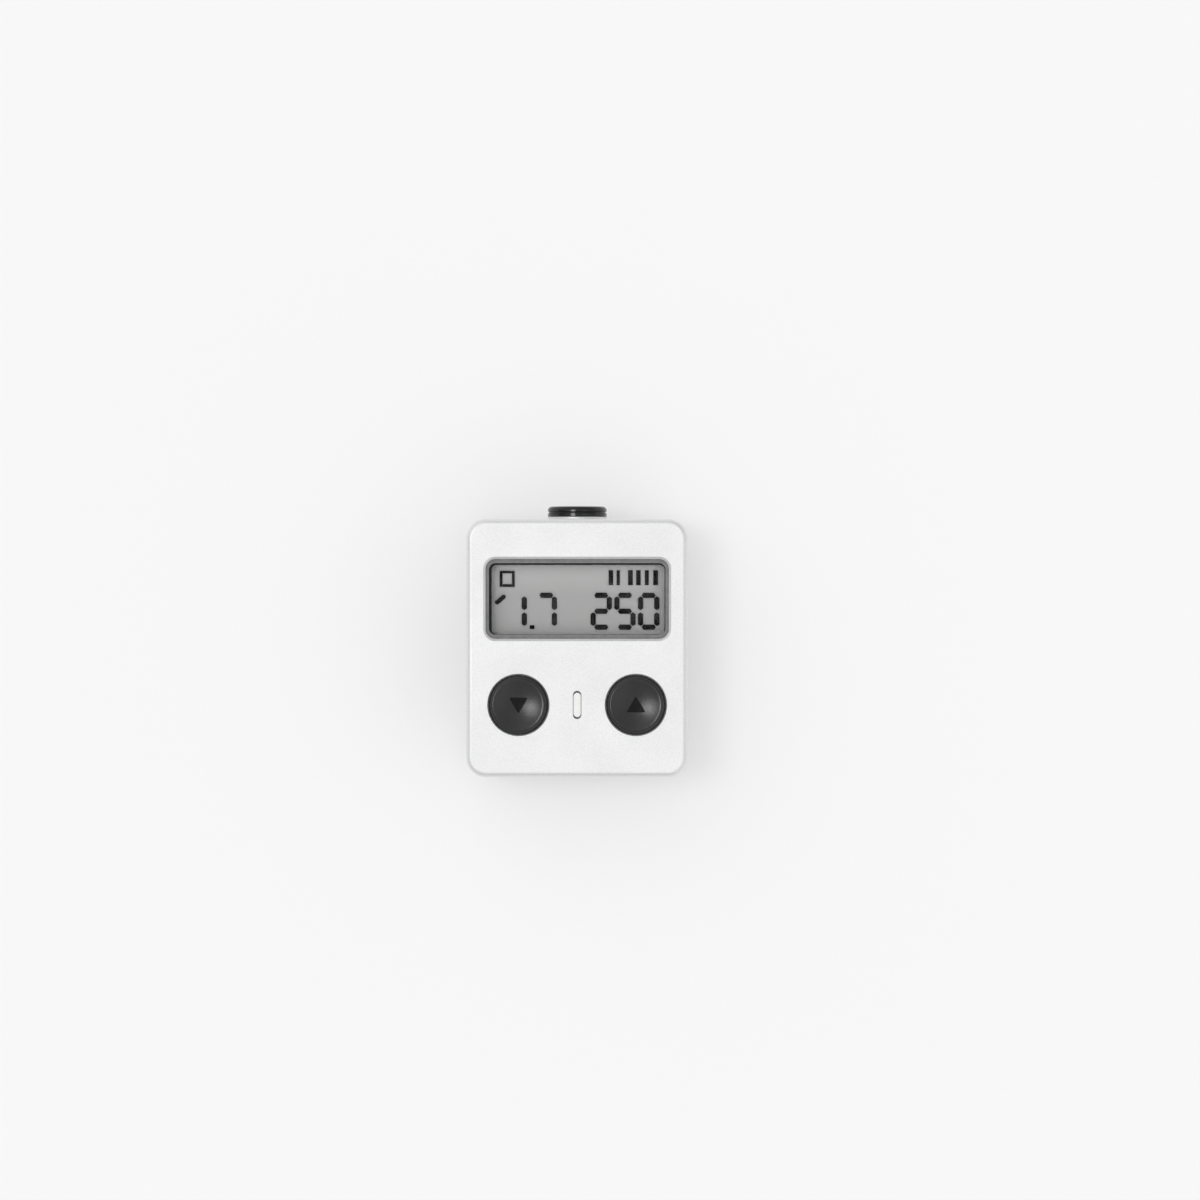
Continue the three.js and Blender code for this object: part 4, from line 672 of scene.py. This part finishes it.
button_grey = plain_finish("button_grey", BUTTON_GREY, 0.24, specular_ior_level=0.6)
tint(button_grey, grain(button_grey, 0.4, detail=3), BUTTON_GREY, BUTTON_GREY_LIGHT)
vary(button_grey, grain(button_grey, 1.6, detail=4), 0.2, 0.28)
button_distance = from_axis(button_grey, (0, BUTTON_Y), (BUTTON_X, 0))
emboss(button_grey, turning_marks(button_grey, button_distance, 0.09), 0.0015)
emboss(button_grey, grain(button_grey, 0.1, detail=1), 0.0015)
mark_black = plain_finish("mark_black", (0.005, 0.005, 0.005), 0.5, specular_ior_level=0.15)
vary(mark_black, grain(mark_black, 0.6), 0.4, 0.6)

cap_rest = np.linspace(1, 0, 15)[1:]
cap_profile = np.vstack([
    [(0, PLUNGER_TOP), (NUB, PLUNGER_TOP), (NUB, FLANGE_BOTTOM), (FLANGE, FLANGE_BOTTOM),
     (FLANGE, FLANGE_TOP), (CAP, FLANGE_TOP)],
    arc(DISH_RADIUS, CAP_TOP - CAP_EDGE, CAP_EDGE, 0, 90, 10),
    np.column_stack([DISH_RADIUS * cap_rest, dish(DISH_RADIUS * cap_rest)]),
])


def blunted(corners, reach, steps=6):
    """Points round an outline whose corners are eased: at each one, the curve (1-t)^2 A + 2t(1-t) C + t^2 B
    between the points A and B that lie a reach before and after the corner C."""
    corners = np.asarray(corners, float)
    before, after = np.roll(corners, 1, 0) - corners, np.roll(corners, -1, 0) - corners
    reach = np.broadcast_to(reach, len(corners))[:, None]
    start = corners + before / np.linalg.norm(before, axis=1, keepdims=True) * reach
    end = corners + after / np.linalg.norm(after, axis=1, keepdims=True) * reach
    t = np.linspace(0, 1, steps + 1)[None, :, None]
    curve = (1 - t) ** 2 * start[:, None] + 2 * t * (1 - t) * corners[:, None] + t ** 2 * end[:, None]
    return curve.reshape(-1, 2)


def printed_mark(name, x, y, point):
    """A triangle of ink on a dished face: rings of its outline drawn in towards its middle, each lying on
    the dish, then the same rings one ink's thickness higher."""
    corners = np.array([(-1, -1), (1, -1), (0, 1)]) * (MARK_WIDTH / 2, point * MARK_HEIGHT / 2)
    middle = np.array([0, -point * MARK_HEIGHT / 6])
    shares = np.linspace(0, 1, 7)[:, None, None]
    flat = middle + (blunted(corners, MARK_BLUNT) - middle) * shares + (0, point * MARK_SHIFT)
    height = dish(np.linalg.norm(flat, axis=-1, keepdims=True))
    lower = np.concatenate([flat + (x, y), height - MARK_SUNK], -1)
    upper = np.concatenate([flat + (x, y), height + MARK_THICKNESS], -1)[::-1]
    return skin(name, np.concatenate([lower, upper]))


for side, x, point in (("left", -BUTTON_X, -1), ("right", BUTTON_X, 1)):
    cap = dress(skin(f"{side}_cap", turned_rings(cap_profile, x, BUTTON_Y, 128)), button_grey)
    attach(cap, f"{side}_key")
    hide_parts(f"{side}_button")
    mark = dress(printed_mark(f"{side}_mark", x, BUTTON_Y, point), mark_black, sharp=60)
    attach(mark, f"{side}_key")


# Switches under the buttons: a moulded body soldered to the board, a plunger, and a sprung dome, pressed
# from thin bronze sheet, that stands on its rim and snaps nearly flat when its button goes down.
DOME_SHEET = 0.12

chip_black = moulded_black("chip_black", (0.022, 0.022, 0.024), 0.5, 0.7)
spring_bronze = plain_finish("spring_bronze", (0.66, 0.53, 0.3), 0.28, 1.0)
tint(spring_bronze, grain(spring_bronze, 0.8, (1, 0.1, 1), 3), (0.6, 0.47, 0.26), (0.74, 0.61, 0.36))
vary(spring_bronze, grain(spring_bronze, 0.2, (1, 0.1, 1)), 0.2, 0.36)
finish_node(["left_switch", "right_switch"], chip_black)
finish_node(["left_switch_plunger", "right_switch_plunger"], black_plastic)


def dome_profile(radius, bottom, top):
    """From a dome's middle out along its inside and back over its outside, each a parabola: the rise times
    one less the square of the share of the radius."""
    share = np.linspace(0, 1, 13)
    inside = np.column_stack([radius * share, bottom + (top - bottom - DOME_SHEET) * (1 - share ** 2)])
    return np.vstack([inside, (inside + (0, DOME_SHEET))[::-1]])


for side in ("left", "right"):
    dome_low, dome_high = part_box(f"{side}_snap_dome")
    dome_middle = (dome_low + dome_high) / 2 / MM
    dome_radius, dome_rise = (dome_high.x - dome_low.x) / 2 / MM, (dome_high.z - dome_low.z) / MM
    dome = skin(f"{side}_sprung_dome", turned_rings(
        dome_profile(dome_radius, dome_low.z / MM, dome_high.z / MM), dome_middle.x, dome_middle.y, 48))
    dress(dome, spring_bronze)
    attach(dome, "case")
    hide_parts(f"{side}_snap_dome")
    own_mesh(dome)


# Light bar: a milky acrylic prism pressed up into its slot from inside, held by a flange below the
# roof. It carries the light of a diode on the board to the top face.
BAR_WIDTH, BAR_LENGTH, BAR_BOTTOM, BAR_TOP, BAR_EDGE = 0.99, 3.2, 12.25, 16.69, 0.1
BAR_FLANGE, BAR_FLANGE_BOTTOM = 0.6, 14.75

clouded_plastic = plain_finish(
    "clouded_plastic", (0.86, 0.86, 0.845), 0.3, subsurface_weight=0.25, subsurface_radius=(0.0006,) * 3,
    subsurface_scale=1.0)
tint(clouded_plastic, grain(clouded_plastic, 1.1), (0.858, 0.858, 0.842), (0.872, 0.872, 0.857))
vary(clouded_plastic, grain(clouded_plastic, 0.3), 0.24, 0.36)
light_bar = skin("clouded_light_bar", drawn_in(BAR_WIDTH, BAR_LENGTH, BAR_WIDTH / 2, [
    (BAR_BOTTOM, 0), (BAR_FLANGE_BOTTOM, 0), (BAR_FLANGE_BOTTOM, -BAR_FLANGE), (CEILING, -BAR_FLANGE),
    (CEILING, 0), *eased(BAR_TOP - BAR_EDGE, BAR_EDGE, 0, 90, 5),
], y=BUTTON_Y))
dress(light_bar, clouded_plastic)
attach(light_bar, "case")
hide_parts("light_bar")


# Light sensor: a turned bezel, anodised gloss black, whose barrel goes through a silver seat ring and the
# front wall to a nut inside. A domed milky diffuser sits behind its lip, and a photodiode behind that.
FRONT_FACE, SEAT_FRONT, BEZEL_FRONT, BARREL_END = 16.9, 17.24, 18.6, 14.2
BEZEL, BARREL, BARREL_BORE, APERTURE = 3.88, 3.4, 3.0, 2.5
BEZEL_EDGE, BEZEL_LIP, APERTURE_CHAMFER = 0.5, 0.8, 0.4
GROOVE_AT, GROOVE_WIDTH = 17.82, 0.25
DIFFUSER, DIFFUSER_THICKNESS, DOME_RISE, DOME_ROOM = 2.9, 1.0, 0.5, 0.1
SEAT_EDGE, SEAT_ROOM = 0.06, 0.01

bezel_black = plain_finish("bezel_black", (0.002, 0.002, 0.0025), 0.2, specular_ior_level=0.5)
tint(bezel_black, grain(bezel_black, 0.5, detail=4), (0.001, 0.001, 0.0015), (0.003, 0.003, 0.0035))
emboss(bezel_black, grain(bezel_black, 0.09, (0, 1, 0)), 0.0015)
vary(bezel_black, grain(bezel_black, 0.9, detail=4), 0.1, 0.18)
shoulder = BEZEL_FRONT - BEZEL_LIP
bezel_profile = np.vstack([
    [(BARREL_BORE, BARREL_END), (BARREL, BARREL_END), (BARREL, SEAT_FRONT), (BEZEL - SEAT_EDGE, SEAT_FRONT),
     (BEZEL, SEAT_FRONT + SEAT_EDGE), (BEZEL, GROOVE_AT - GROOVE_WIDTH / 2)],
    arc(BEZEL, GROOVE_AT, GROOVE_WIDTH / 2, 250, 110),
    [(BEZEL, GROOVE_AT + GROOVE_WIDTH / 2)],
    arc(BEZEL - BEZEL_EDGE, BEZEL_FRONT - BEZEL_EDGE, BEZEL_EDGE, 0, 90, 12),
    [(APERTURE + APERTURE_CHAMFER, BEZEL_FRONT), (APERTURE, BEZEL_FRONT - APERTURE_CHAMFER),
     (APERTURE, shoulder), (BARREL_BORE, shoulder)],
])
bezel = skin("black_bezel", about_y(turned_rings(bezel_profile, steps=128), SENSOR_Z), closed=True)
dress(bezel, bezel_black)
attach(bezel, "case")
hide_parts("sensor_bezel")

seat = skin("bezel_seat", about_y(turned_rings([
    (BARREL + SEAT_ROOM, FRONT_FACE), (BEZEL - SEAT_EDGE, FRONT_FACE), (BEZEL, FRONT_FACE + SEAT_EDGE),
    (BEZEL, SEAT_FRONT - SEAT_EDGE), (BEZEL - SEAT_EDGE, SEAT_FRONT), (BARREL + SEAT_ROOM, SEAT_FRONT),
], steps=128), SENSOR_Z), closed=True)
dress(seat, silver_shell)
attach(seat, "case")

dome_share = np.linspace(1, 0, 13)
diffuser_profile = np.vstack([
    [(0, shoulder - DIFFUSER_THICKNESS), (DIFFUSER, shoulder - DIFFUSER_THICKNESS), (DIFFUSER, shoulder)],
    np.column_stack([(APERTURE - DOME_ROOM) * dome_share, shoulder + DOME_RISE * (1 - dome_share ** 2)])])
diffuser = skin("milky_diffuser", about_y(turned_rings(diffuser_profile), SENSOR_Z))
dress(diffuser, clouded_plastic)
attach(diffuser, "case")
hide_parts("sensor_diffuser")


def machined_steel(name, colour, stretch, low=0.25, high=0.4):
    """Plain steel with the marks of its last cut, drawn out along or round as the stretch says."""
    finish = plain_finish(name, colour, (low + high) / 2, 1.0)
    tint(finish, grain(finish, 1.5, detail=4), tuple(0.9 * part for part in colour), colour)
    vary(finish, grain(finish, 0.15, stretch), low, high)
    emboss(finish, grain(finish, 0.1, stretch), 0.002)
    return finish


nut_steel = machined_steel("nut_steel", (0.5, 0.5, 0.52), (0.1, 1, 0.1))
finish_node(["diffuser_ring"], black_plastic)
finish_node(["bezel_ring_nut"], nut_steel)
finish_node(["photodiode"], chip_black)


# Circuit boards: green glass-fibre laminate with copper under the mask. The main board hangs from
# bosses in the roof on three screws, and the sensor's own board stands on two header pins.
TRACK_PITCH, TRACK_EDGES = 2.2, (0.05, 0.09)

board_green = plain_finish("board_green", (0.022, 0.1, 0.045), 0.32, coat_weight=0.3, coat_roughness=0.2)
copper = wired(board_green.node_tree, "TexVoronoi", {
    "Vector": on_surface(board_green), "Scale": 1 / (TRACK_PITCH * MM)},
    "Distance", feature="DISTANCE_TO_EDGE", distance="MANHATTAN")
bare_ground = spread(board_green, copper, 0, 1, *TRACK_EDGES)
tint(board_green, bare_ground, (0.035, 0.16, 0.06), (0.018, 0.085, 0.038))
emboss(board_green, grain(board_green, 0.25, detail=1), 0.003)
finish_node(["main_board", "sensor_board"], board_green)
finish_node(["microcontroller"], chip_black)
finish_node(["sensor_header"], black_plastic)
finish_node(["indicator_led"], clouded_plastic)

crystal_can = machined_steel("crystal_can", (0.68, 0.69, 0.7), (1, 0.1, 0.1), 0.18, 0.3)
finish_node(["clock_crystal"], crystal_can)
ceramic_tan = plain_finish("ceramic_tan", (0.4, 0.26, 0.14), 0.55)
tint(ceramic_tan, grain(ceramic_tan, 0.4, detail=4), (0.34, 0.22, 0.11), (0.46, 0.31, 0.17))
emboss(ceramic_tan, grain(ceramic_tan, 0.12), 0.004)
finish_node(["supply_capacitor"], ceramic_tan)

board_screw_steel = machined_steel("board_screw_steel", (0.52, 0.52, 0.54), (1, 1, 0.15))
finish_node(["board_screw_left", "board_screw_right", "board_screw_rear"], board_screw_steel)


# Battery: a coin cell in a moulded tray that slides into the left side, where the tray's end closes
# the wall flush. A moulded guide carries the tray, and two sprung leaves touch the cell.
CELL_X, CELL_BOTTOM, CELL, CELL_THICKNESS = -4.55, 6.15, 8.0, 3.2
CELL_EDGE, CRIMP_EDGE, CELL_CAP, CAP_RISE, CELL_CAP_EDGE = 0.3, 0.4, 6.9, 0.3, 0.25
SEAL_WIDTH, SEAL_DEPTH, SEAL_SLOPES, SEAL_DARK, SEAL_ABOVE = 0.4, 0.12, (0.04, 0.06), 0.34, 2.0
TRAY_BOTTOM, TRAY_END, TRAY_WIDTH, ARM_TOP, TRAY_CAP_TOP = 5.65, 4.8, 17.1, 9.05, 9.75
TRAY_CORNER, TRAY_EDGE, TRAY_FACE_CORNER, TRAY_FACE_EDGE = 0.3, 0.1, 0.45, 0.12
POCKET, POCKET_HEIGHT, FLOOR_HOLE, MOUTH_WIDTH = 8.15, 5.0, 5.0, 13.0
NICK_LENGTH, NICK_HEIGHT, NICK_DEPTH, NICK_EDGE, NICK_RIM = 7.0, 1.1, 0.7, 0.3, 0.08

bright_nickel = plain_finish("bright_nickel", (0.66, 0.67, 0.68), 0.24, 1.0)
nickel_tree = bright_nickel.node_tree
cell_distance = from_axis(bright_nickel, (CELL_X, 0), (0, 0))
seal = wired(nickel_tree, "Math", {
    0: cell_distance, 1: (CELL_CAP + SEAL_WIDTH / 2) * MM, 2: SEAL_DARK / 2 * MM}, operation="COMPARE")
upper = wired(nickel_tree, "Math", {
    0: coordinate(bright_nickel, "Z"), 1: (CELL_BOTTOM + SEAL_ABOVE) * MM}, operation="GREATER_THAN")
plate_colour = blend_colours(
    bright_nickel, grain(bright_nickel, 1.8, detail=4), (0.6, 0.61, 0.62), (0.72, 0.73, 0.74))
sealed = wired(nickel_tree, "Math", {0: seal, 1: upper}, operation="MULTIPLY")
tint(bright_nickel, sealed, plate_colour, (0.02, 0.02, 0.02))
vary(bright_nickel, grain(bright_nickel, 0.5, detail=3), 0.18, 0.34)
emboss(bright_nickel, turning_marks(bright_nickel, cell_distance, 0.12), 0.0015)

crimp = CELL_THICKNESS - CAP_RISE
cell_profile = np.vstack([
    [(0, 0)],
    arc(CELL - CELL_EDGE, CELL_EDGE, CELL_EDGE, -90, 0, 8),
    arc(CELL - CRIMP_EDGE, crimp - CRIMP_EDGE, CRIMP_EDGE, 0, 90, 8),
    [(CELL_CAP + SEAL_WIDTH, crimp), (CELL_CAP + SEAL_WIDTH - SEAL_SLOPES[0], crimp - SEAL_DEPTH),
     (CELL_CAP + SEAL_SLOPES[1], crimp - SEAL_DEPTH), (CELL_CAP, crimp)],
    arc(CELL_CAP - CELL_CAP_EDGE, CELL_THICKNESS - CELL_CAP_EDGE, CELL_CAP_EDGE, 15, 90, 6),
    [(CELL / 2, CELL_THICKNESS), (0, CELL_THICKNESS)],
])
coin_cell = skin("nickel_coin_cell", turned_rings(cell_profile, CELL_X, 0, 128) + (0, 0, CELL_BOTTOM))
dress(coin_cell, bright_nickel)
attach(coin_cell, "battery_drawer")
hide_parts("coin_cell")

arms_left = LEFT_FACE + WALL / 2
tray = skin("black_battery_tray", drawn_in(TRAY_END - arms_left, TRAY_WIDTH, TRAY_CORNER, [
    (TRAY_BOTTOM, TRAY_EDGE), (TRAY_BOTTOM + TRAY_EDGE, 0), (ARM_TOP - TRAY_EDGE, 0), (ARM_TOP, TRAY_EDGE),
], x=(TRAY_END + arms_left) / 2, steps=6))
tray_face_middle = (TRAY_BOTTOM + TRAY_CAP_TOP) / 2
tray_face = skin("tray_face", drawn_in_x(TRAY_WIDTH, TRAY_CAP_TOP - TRAY_BOTTOM, TRAY_FACE_CORNER, [
    (LEFT_FACE + WALL, 0), *eased(LEFT_FACE + TRAY_FACE_EDGE, TRAY_FACE_EDGE, 0, -90, 5),
], tray_face_middle))
carve(tray, [tray_face], "UNION")
mouth_length = TRAY_END + OVERRUN - CELL_X
carve(tray, [
    skin("pocket", peg_rings(POCKET, CELL_BOTTOM, CELL_BOTTOM + POCKET_HEIGHT, CELL_X)),
    skin("mouth", drawn_in(
        mouth_length, MOUTH_WIDTH, 0.0, [(CELL_BOTTOM, 0), (CELL_BOTTOM + POCKET_HEIGHT, 0)],
        x=CELL_X + mouth_length / 2, steps=1)),
    skin("floor_hole", peg_rings(FLOOR_HOLE, TRAY_BOTTOM - OVERRUN, CELL_BOTTOM + OVERRUN, CELL_X)),
    skin("nick", drawn_in_x(NICK_LENGTH, NICK_HEIGHT, NICK_HEIGHT / 2, [
        (LEFT_FACE - OVERRUN + NICK_RIM, -OVERRUN), (LEFT_FACE + NICK_RIM, 0),
        *eased(LEFT_FACE + NICK_DEPTH - NICK_EDGE, NICK_EDGE, 0, 90, 6)], tray_face_middle)),
])
dress(tray, black_plastic)
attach(tray, "battery_drawer")
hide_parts("battery_tray")
finish_node(["battery_guide"], black_plastic)
finish_node(["negative_contact", "positive_contact"], spring_bronze)


# Base plate: aluminium plate blasted and anodised as the housing is, let into its underside and held
# by four countersunk screws. It is tapped for the screws of the foot.
PLATE_WIDTH, PLATE_DEPTH, PLATE_CORNER, PLATE_EDGE = 27.2, 32.0, 1.7, 0.15
FOOT_SCREW_X, FOOT_SCREW_Y = 3.8, 4.8
SCREW_HEAD, SCREW_SHANK, SCREW_RIM, SCREW_SUNK, SCREW_ROOM = 1.45, 0.8, 0.15, 0.08, 0.06
foot_screw_places = [(x, y) for x in (-FOOT_SCREW_X, FOOT_SCREW_X) for y in (-FOOT_SCREW_Y, FOOT_SCREW_Y)]


def countersink(x, y, face, length):
    """A cutter for a countersunk hole that opens downwards: a mouth, a cone at 45 degrees, a shank."""
    mouth, shank, rim = SCREW_HEAD + SCREW_ROOM, SCREW_SHANK + SCREW_ROOM, SCREW_SUNK + SCREW_RIM
    return skin("countersink", turned_rings([
        (0, face - OVERRUN), (mouth, face - OVERRUN), (mouth, face + rim),
        (shank, face + rim + mouth - shank), (shank, face + length), (0, face + length)], x, y, 48))


plate = skin("base_cover", drawn_in(PLATE_WIDTH, PLATE_DEPTH, PLATE_CORNER, [
    (BODY_BOTTOM, PLATE_EDGE), (BODY_BOTTOM + PLATE_EDGE, 0), (PLATE_TOP, 0)]))
carve(plate, [
    *(countersink(x, y, BODY_BOTTOM, PLATE_TOP - BODY_BOTTOM + OVERRUN) for x, y in corner_places),
    *(skin("tapped", peg_rings(THREAD, BODY_BOTTOM - OVERRUN, PLATE_TOP + OVERRUN, x, y, THREAD_STEPS))
      for x, y in foot_screw_places),
])
dress(plate, bead_blasted("silver_plate"))
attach(plate, "case")
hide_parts("base_plate")


# Shoe foot: milled from stainless steel, a flange that runs under the camera's rails and a neck that
# passes between them. Its front corners are cut off so that it finds its way in.
FOOT_WIDTH, FOOT_LENGTH, FOOT_THICKNESS, FOOT_EDGE = 18.6, 18.0, 1.95, 0.15
LEAD_IN, LEAD_IN_ROUND, REAR_CORNER, REAR_ROUND = 1.2, 0.4, 0.4, 0.15
NECK_WIDTH, NECK_LENGTH, NECK_CORNER, NECK_FILLET = 12.4, 15.0, 0.6, 0.2


def drawn_loop(loop, inset):
    """A loop moved inwards: each point goes along the mean of its two sides' normals, far enough that the
    sides move by the inset."""
    along = np.roll(loop, -1, 0) - loop
    out = np.stack([along[:, 1], -along[:, 0]], -1) / np.linalg.norm(along, axis=1, keepdims=True)
    mean = out + np.roll(out, 1, 0)
    return loop - inset * 2 * mean / np.sum(mean ** 2, axis=1, keepdims=True)


half_width, half_length = FOOT_WIDTH / 2, FOOT_LENGTH / 2
right_side = [
    (half_width - REAR_CORNER, -half_length), (half_width, REAR_CORNER - half_length),
    (half_width, half_length - LEAD_IN), (half_width - LEAD_IN, half_length)]
left_side = [(-x, y) for x, y in right_side[::-1]]
foot_loop = blunted(right_side + left_side, [REAR_ROUND] * 2 + [LEAD_IN_ROUND] * 4 + [REAR_ROUND] * 2)
foot = skin("steel_foot", [level(drawn_loop(foot_loop, inset), z) for z, inset in (
    eased(FOOT_EDGE, FOOT_EDGE, -90, 0, 5) + eased(FOOT_THICKNESS - FOOT_EDGE, FOOT_EDGE, 0, 90, 5))])
neck = skin("neck", drawn_in(NECK_WIDTH, NECK_LENGTH, NECK_CORNER, [
    (FOOT_THICKNESS / 2, -NECK_FILLET), (FOOT_THICKNESS, -NECK_FILLET),
    *eased(FOOT_THICKNESS + NECK_FILLET, NECK_FILLET, 270, 180, 6, NECK_FILLET), (BODY_BOTTOM, 0)]))
carve(foot, [neck], "UNION")
carve(foot, [countersink(x, y, 0, BODY_BOTTOM + OVERRUN) for x, y in foot_screw_places])
foot_metal = plain_finish("foot_metal", (0.56, 0.56, 0.57), 0.34, 1.0)
tint(foot_metal, grain(foot_metal, 3.0, (1, 0.12, 1), 4), (0.5, 0.5, 0.51), (0.62, 0.62, 0.63))
vary(foot_metal, grain(foot_metal, 0.25, (1, 0.05, 1), 3), 0.26, 0.44)
emboss(foot_metal, grain(foot_metal, 0.12, (1, 0.03, 1)), 0.003)
dress(foot, foot_metal)
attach(foot, "case")
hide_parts("shoe_foot")


# Countersunk screws: bright steel, turned, with a cross recess for the driver. Four run up through
# the base plate into the housing, and four through the foot into the base plate.
RECESS_SPAN, RECESS_WIDTH, RECESS_DEPTH = 1.6, 0.34, 0.5
RECESS_OVER, RECESS_FLARE, RECESS_TAPER = 0.4, (0.4, 0.06), (0.55, 0.7)
HEAD_EDGE, TIP_BEVEL = 0.06, 0.25
PLATE_SCREW, FOOT_SCREW = 4.5, 5.4


def screw_steel(name, x, y):
    """Turned steel with rings round each screw's own axis, for the four screws at x and y."""
    finish = plain_finish(name, (0.52, 0.52, 0.54), 0.3, 1.0)
    tint(finish, grain(finish, 0.6, detail=4), (0.44, 0.44, 0.46), (0.58, 0.58, 0.6))
    vary(finish, grain(finish, 0.25), 0.22, 0.4)
    emboss(finish, turning_marks(finish, from_axis(finish, (0, 0), (x, y)), 0.08), 0.003)
    return finish


def countersunk_screw(name, x, y, face, length, turn):
    """A screw with its head down: the head's rim, a cone at 45 degrees, the shank and a bevelled tip, with
    two tapered slots cut across each other at an angle."""
    body = skin(name, turned_rings([
        (0, SCREW_SUNK), (SCREW_HEAD - HEAD_EDGE, SCREW_SUNK), (SCREW_HEAD, SCREW_SUNK + HEAD_EDGE),
        (SCREW_HEAD, SCREW_SUNK + SCREW_RIM),
        (SCREW_SHANK, SCREW_SUNK + SCREW_RIM + SCREW_HEAD - SCREW_SHANK),
        (SCREW_SHANK, length - TIP_BEVEL), (SCREW_SHANK - TIP_BEVEL, length), (0, length),
    ], steps=64) + (x, y, face))
    swing = np.array([[math.cos(turn), -math.sin(turn)], [math.sin(turn), math.cos(turn)]])
    sizes = [
        (RECESS_SPAN + RECESS_FLARE[0], RECESS_WIDTH + RECESS_FLARE[1], SCREW_SUNK - RECESS_OVER),
        (RECESS_SPAN, RECESS_WIDTH, SCREW_SUNK),
        (RECESS_SPAN * RECESS_TAPER[0], RECESS_WIDTH * RECESS_TAPER[1], SCREW_SUNK + RECESS_DEPTH)]
    return carve(body, [
        skin("recess", [
            level(rounded_loop(span, width, width / 3, 3)[:, ::way] * (way, 1) @ swing.T, z + face, x, y)
            for span, width, z in sizes])
        for way in (1, -1)])


plate_screw_steel = screw_steel("plate_screw_steel", CORNER_SCREW_X, CORNER_SCREW_Y)
foot_screw_steel = screw_steel("foot_screw_steel", FOOT_SCREW_X, FOOT_SCREW_Y)
turns = iter((0.3, 1.2, 0.75, 0.05, 0.95, 0.4, 1.4, 0.6))
for kind, half_x, half_y, face, length, steel in (
        ("base", CORNER_SCREW_X, CORNER_SCREW_Y, BODY_BOTTOM, PLATE_SCREW, plate_screw_steel),
        ("foot", FOOT_SCREW_X, FOOT_SCREW_Y, 0.0, FOOT_SCREW, foot_screw_steel)):
    for end, side_y in (("front", 1), ("rear", -1)):
        for side, side_x in (("left", -1), ("right", 1)):
            name = f"{kind}_countersunk_{end}_{side}"
            screw = countersunk_screw(name, side_x * half_x, side_y * half_y, face, length, next(turns))
            dress(screw, steel)
            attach(screw, "case")
            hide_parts(f"{kind}_screw_{end}_{side}")
